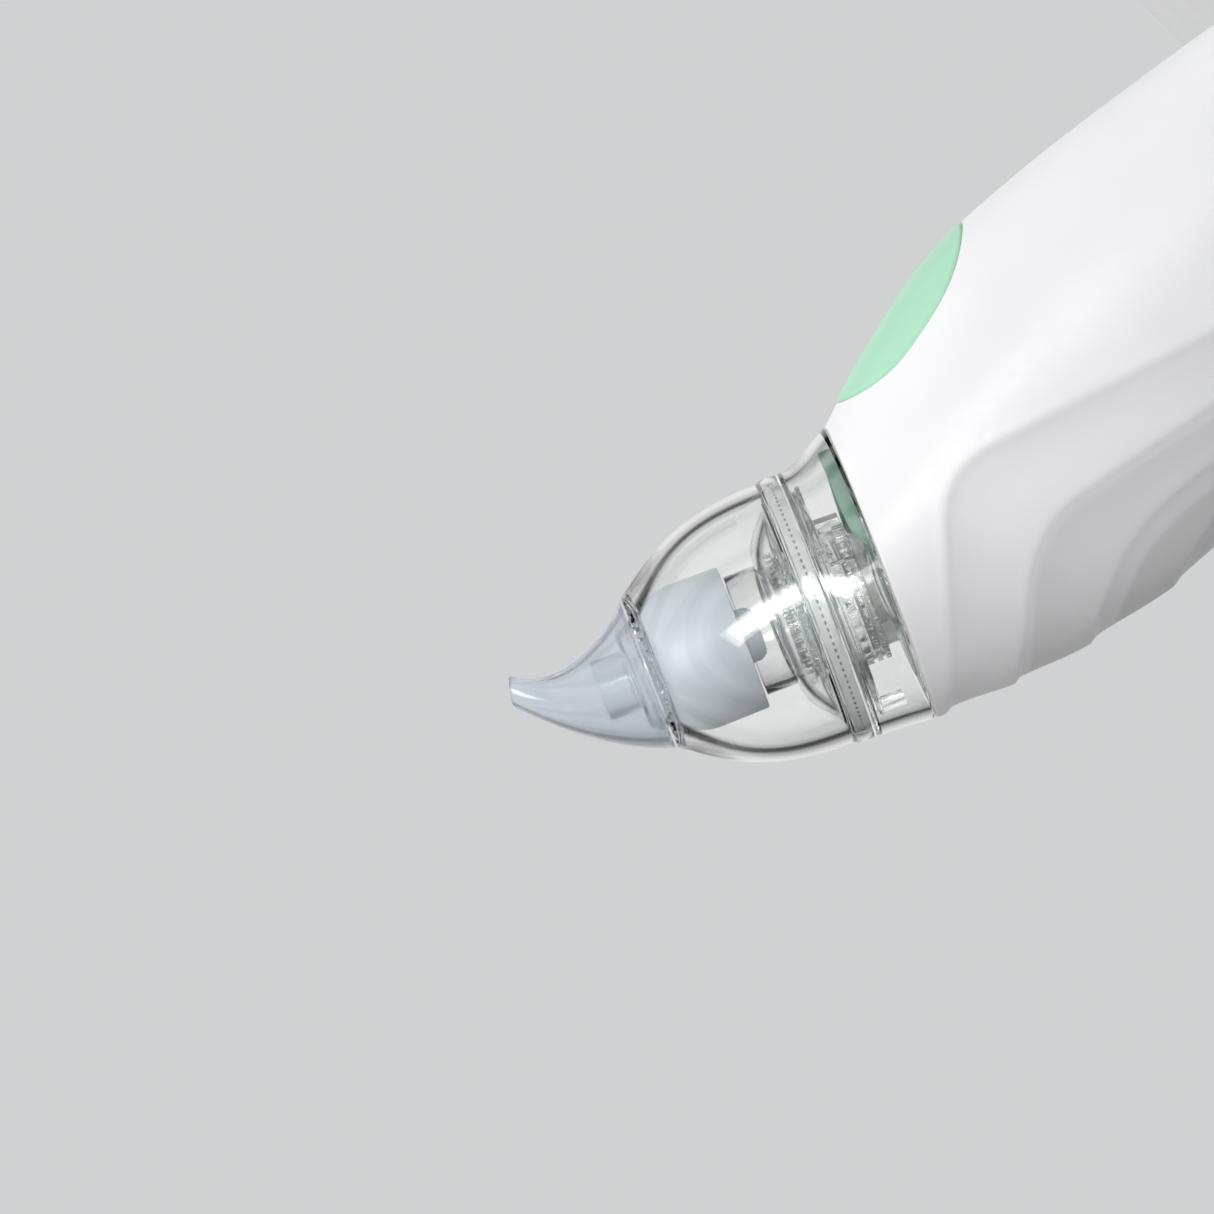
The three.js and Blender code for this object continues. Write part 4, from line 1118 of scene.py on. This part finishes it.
class ASPIRATOR_OT_collar(bpy.types.Operator):
    """Clear flared collar with its inner socket"""
    bl_idname = "aspirator.collar"
    bl_label = "Rear collar"

    TOP = -2.7
    BASE = -11.2
    WALL = 1.6

    def wall(self, head, inset, count):
        """Circles from the cup's skirt to the neck: radius and offset grow with the height by f^2 (1.6 -
        0.6 f)."""
        f = np.linspace(0, 1, count)
        lean = f * f * (1.6 - 0.6 * f)
        radius = head.skirt_radius + (head.neck_radius - head.skirt_radius) * lean - inset
        return radius, head.neck_shift * lean, self.TOP + (self.BASE - self.TOP) * f

    def execute(self, context):
        head = sizes(context, "head")
        angle = np.linspace(0, 2 * np.pi, head.segments, endpoint=False)[None, :]
        outside = self.wall(head, 0, 26)
        inside = [v[::-1] for v in self.wall(head, self.WALL, 26)]
        radius, shift, height = (np.concatenate(v)[:, None] for v in zip(outside, inside))
        grid = np.stack([radius * np.sin(angle), radius * np.cos(angle) + shift,
                         np.broadcast_to(height, (len(height), angle.size))], axis=-1)
        shell = (from_head(grid).reshape(-1, 3), grid_faces(len(height), angle.size, True, True))
        head_piece("rear_collar_fine", [shell], finish("clear collar"), "head", ["rear_collar"], 30)
        low = -8.9
        tube = softened([[18.9, -3.35], [19.3, -3.35], [19.3, -2.8], [12.6, -2.8], [9.3, -3.1],
                         [9.3, low], [10.15, low], [10.15, -8.2], [9.7, -8.2], [9.7, -7.6], [10.15, -7.6],
                         [10.15, -6.9], [9.7, -6.9], [9.7, -6.2], [10.15, -6.2], [10.15, -4.9],
                         [17.3, -4.9], [17.3, -4.2], [16.7, -4.2], [16.7, -3.6], [18.3, -3.6]], 0.08, 3)

        def comb(angle, r, z):
            """Teeth round the socket tube between its grooves."""
            on_tube = (r > 9.9) * (r < 10.3) * (z < -6.0)
            return -0.45 * on_tube * smoothstep(np.cos(angle * SOCKET_TEETH), -0.2, 0.1), 0

        parts = [turned(tube, SOCKET_TEETH * 8, ripple=comb)]
        parts += [self.lug(middle) for middle in np.radians([0, 120, 240])]
        head_piece("rear_collar_socket", parts, finish("clear collar"), "head", None)
        return {"FINISHED"}

    def lug(self, middle):
        """Lug below the flange: a rounded rectangle swept round a short arc, drawn in to its middle at
        both ends."""
        outline = softened([[15.4, -8.5], [17.2, -8.5], [17.2, -4.86], [15.4, -4.86]], 0.12, 4)
        centre = outline.mean(axis=0)
        steps = np.concatenate([[-1], np.linspace(-1, 1, 13), [1]])
        size = np.concatenate([[0], np.ones(13), [0]])[:, None, None]
        section = centre + (outline - centre) * size
        angle = (middle + 0.21 * steps)[:, None]
        grid = np.stack([section[..., 0] * np.sin(angle), section[..., 0] * np.cos(angle),
                         section[..., 1]], axis=-1)
        return from_head(grid).reshape(-1, 3), grid_faces(len(steps), len(outline), False, True)


class ASPIRATOR_OT_neck(bpy.types.Operator):
    """Face of the handle: plate, mint ring whose green is a painted refraction, inlet port and its seal"""
    bl_idname = "aspirator.neck"
    bl_label = "Neck"

    def execute(self, context):
        head = sizes(context, "head")
        plate = softened([[6.9, -13.6], [19.2, -13.6], [19.2, -11.5], [6.9, -11.5]], 0.2)
        port = softened([[3.0, -19.5], [4.2, -19.5], [4.2, -16.0], [6.6, -15.4], [6.6, -11.2],
                         [8.4, -11.2], [8.4, -8.9], [7.6, -8.9], [7.6, -7.6], [8.4, -7.6], [8.4, -6.6],
                         [5.6, -6.6], [5.6, -14.6], [3.0, -15.4]], 0.15, 4)
        seal = softened([[7.9, -8.6], [9.0, -8.6], [9.0, -7.9], [7.9, -7.9]], 0.33)
        for name, outline, material, shift in (("neck_plate", plate, "white shell", head.neck_shift),
                                               ("inlet_port", port, "clear collar", 0.0),
                                               ("port_seal", seal, "gasket silicone", 0.0)):
            head_piece(name + "_fine", [turned(outline, head.segments, shift)], finish(material),
                       "handle", [name])
        self.painted_refraction_ring(head)
        return {"FINISHED"}

    def painted_refraction_ring(self, head):
        """Mint ring, raised and broad along the front of the handle, thin and narrow behind; its dark green
        is a painted refraction, standing in for green surroundings seen bent through the clear collar.
        """
        outline = softened([[0.0, 0.0], [3.7, 0.0], [3.7, 1.0], [0.0, 1.0]], 0.1, 4)
        angle = np.linspace(0, 2 * np.pi, head.segments, endpoint=False)[:, None]
        reach, share = outline.T
        r = 15.2 + reach[None, :] * (0.12 + 0.88 * smoothstep(-np.cos(angle), 0.1, 0.5))
        x, y = r * np.sin(angle), r * np.cos(angle) + head.neck_shift
        thickness = 0.08 + 1.8 * smoothstep(-y, 4.5, 9.5)
        grid = np.stack([x, y, -11.2 + share[None, :] * thickness], axis=-1)
        part = (from_head(grid).reshape(-1, 3), grid_faces(head.segments, len(reach), True, True))
        head_piece("neck_ring_fine", [part], finish("painted refraction mint"), "handle", ["neck_ring"])


class ASPIRATOR_OT_inside(bpy.types.Operator):
    """Finishes of the pieces carried over from the frame"""
    bl_idname = "aspirator.inside"
    bl_label = "Inner pieces"

    FINISH_OF = {"moisture_filter": "filter felt", "umbrella_valve": "stopper silicone",
                 "main_board": "circuit board", "charging_board": "circuit board",
                 "tact_switch": "drawn steel", "charge_led": "lamp body", "control_chip": "black plastic",
                 "motor_can": "drawn steel", "motor_end_cap": "frame plastic",
                 "motor_shaft": "drawn steel", "crank_disc": "turned brass",
                 "connecting_rod": "frame plastic", "pump_case": "black plastic",
                 "pump_cover": "black plastic", "pump_membrane": "black rubber",
                 "valve_plate": "frame plastic", "pump_head": "black plastic",
                 "suction_hose": "hose silicone", "exhaust_silencer": "filter felt",
                 "inner_frame": "frame plastic", "battery_cell": "cell sleeve",
                 "charging_socket": "drawn steel"}

    def execute(self, context):
        for i in range(4):
            self.FINISH_OF[f"pump_screw_{i + 1}"] = "drawn steel"
        for node, name in self.FINISH_OF.items():
            carried = bpy.data.objects[node]
            carried.data.materials.clear()
            carried.data.materials.append(finish(name))
        return {"FINISHED"}


class ASPIRATOR_PT_panel(bpy.types.Panel):
    """The aspirator's pieces, one button each"""
    bl_idname = "ASPIRATOR_PT_panel"
    bl_label = "Nasal aspirator"
    bl_space_type = "VIEW_3D"
    bl_region_type = "UI"
    bl_category = "Aspirator"

    def draw(self, context):
        for operator in OPERATORS:
            self.layout.operator(operator.bl_idname)


GROUPS = {"handle": AspiratorHandle, "button": AspiratorButton, "head": AspiratorHead,
          "colours": AspiratorColours, "stage": AspiratorStage}
OPERATORS = [ASPIRATOR_OT_stage, ASPIRATOR_OT_shells, ASPIRATOR_OT_button, ASPIRATOR_OT_port,
             ASPIRATOR_OT_base, ASPIRATOR_OT_nozzle, ASPIRATOR_OT_cup, ASPIRATOR_OT_stopper,
             ASPIRATOR_OT_separator, ASPIRATOR_OT_collar, ASPIRATOR_OT_neck, ASPIRATOR_OT_inside]


def register():
    for group in GROUPS.values():
        bpy.utils.register_class(group)
    for name, group in GROUPS.items():
        setattr(bpy.types.Scene, "aspirator_" + name, bpy.props.PointerProperty(type=group))
    for operator in OPERATORS:
        bpy.utils.register_class(operator)
    bpy.utils.register_class(ASPIRATOR_PT_panel)


def unregister():
    bpy.utils.unregister_class(ASPIRATOR_PT_panel)
    for operator in reversed(OPERATORS):
        bpy.utils.unregister_class(operator)
    for name in GROUPS:
        delattr(bpy.types.Scene, "aspirator_" + name)
    for group in reversed(GROUPS.values()):
        bpy.utils.unregister_class(group)


def main():
    """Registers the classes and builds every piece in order."""
    register()
    for operator in OPERATORS:
        group, name = operator.bl_idname.split(".")
        getattr(getattr(bpy.ops, group), name)()


if __name__ == "__main__":
    main()
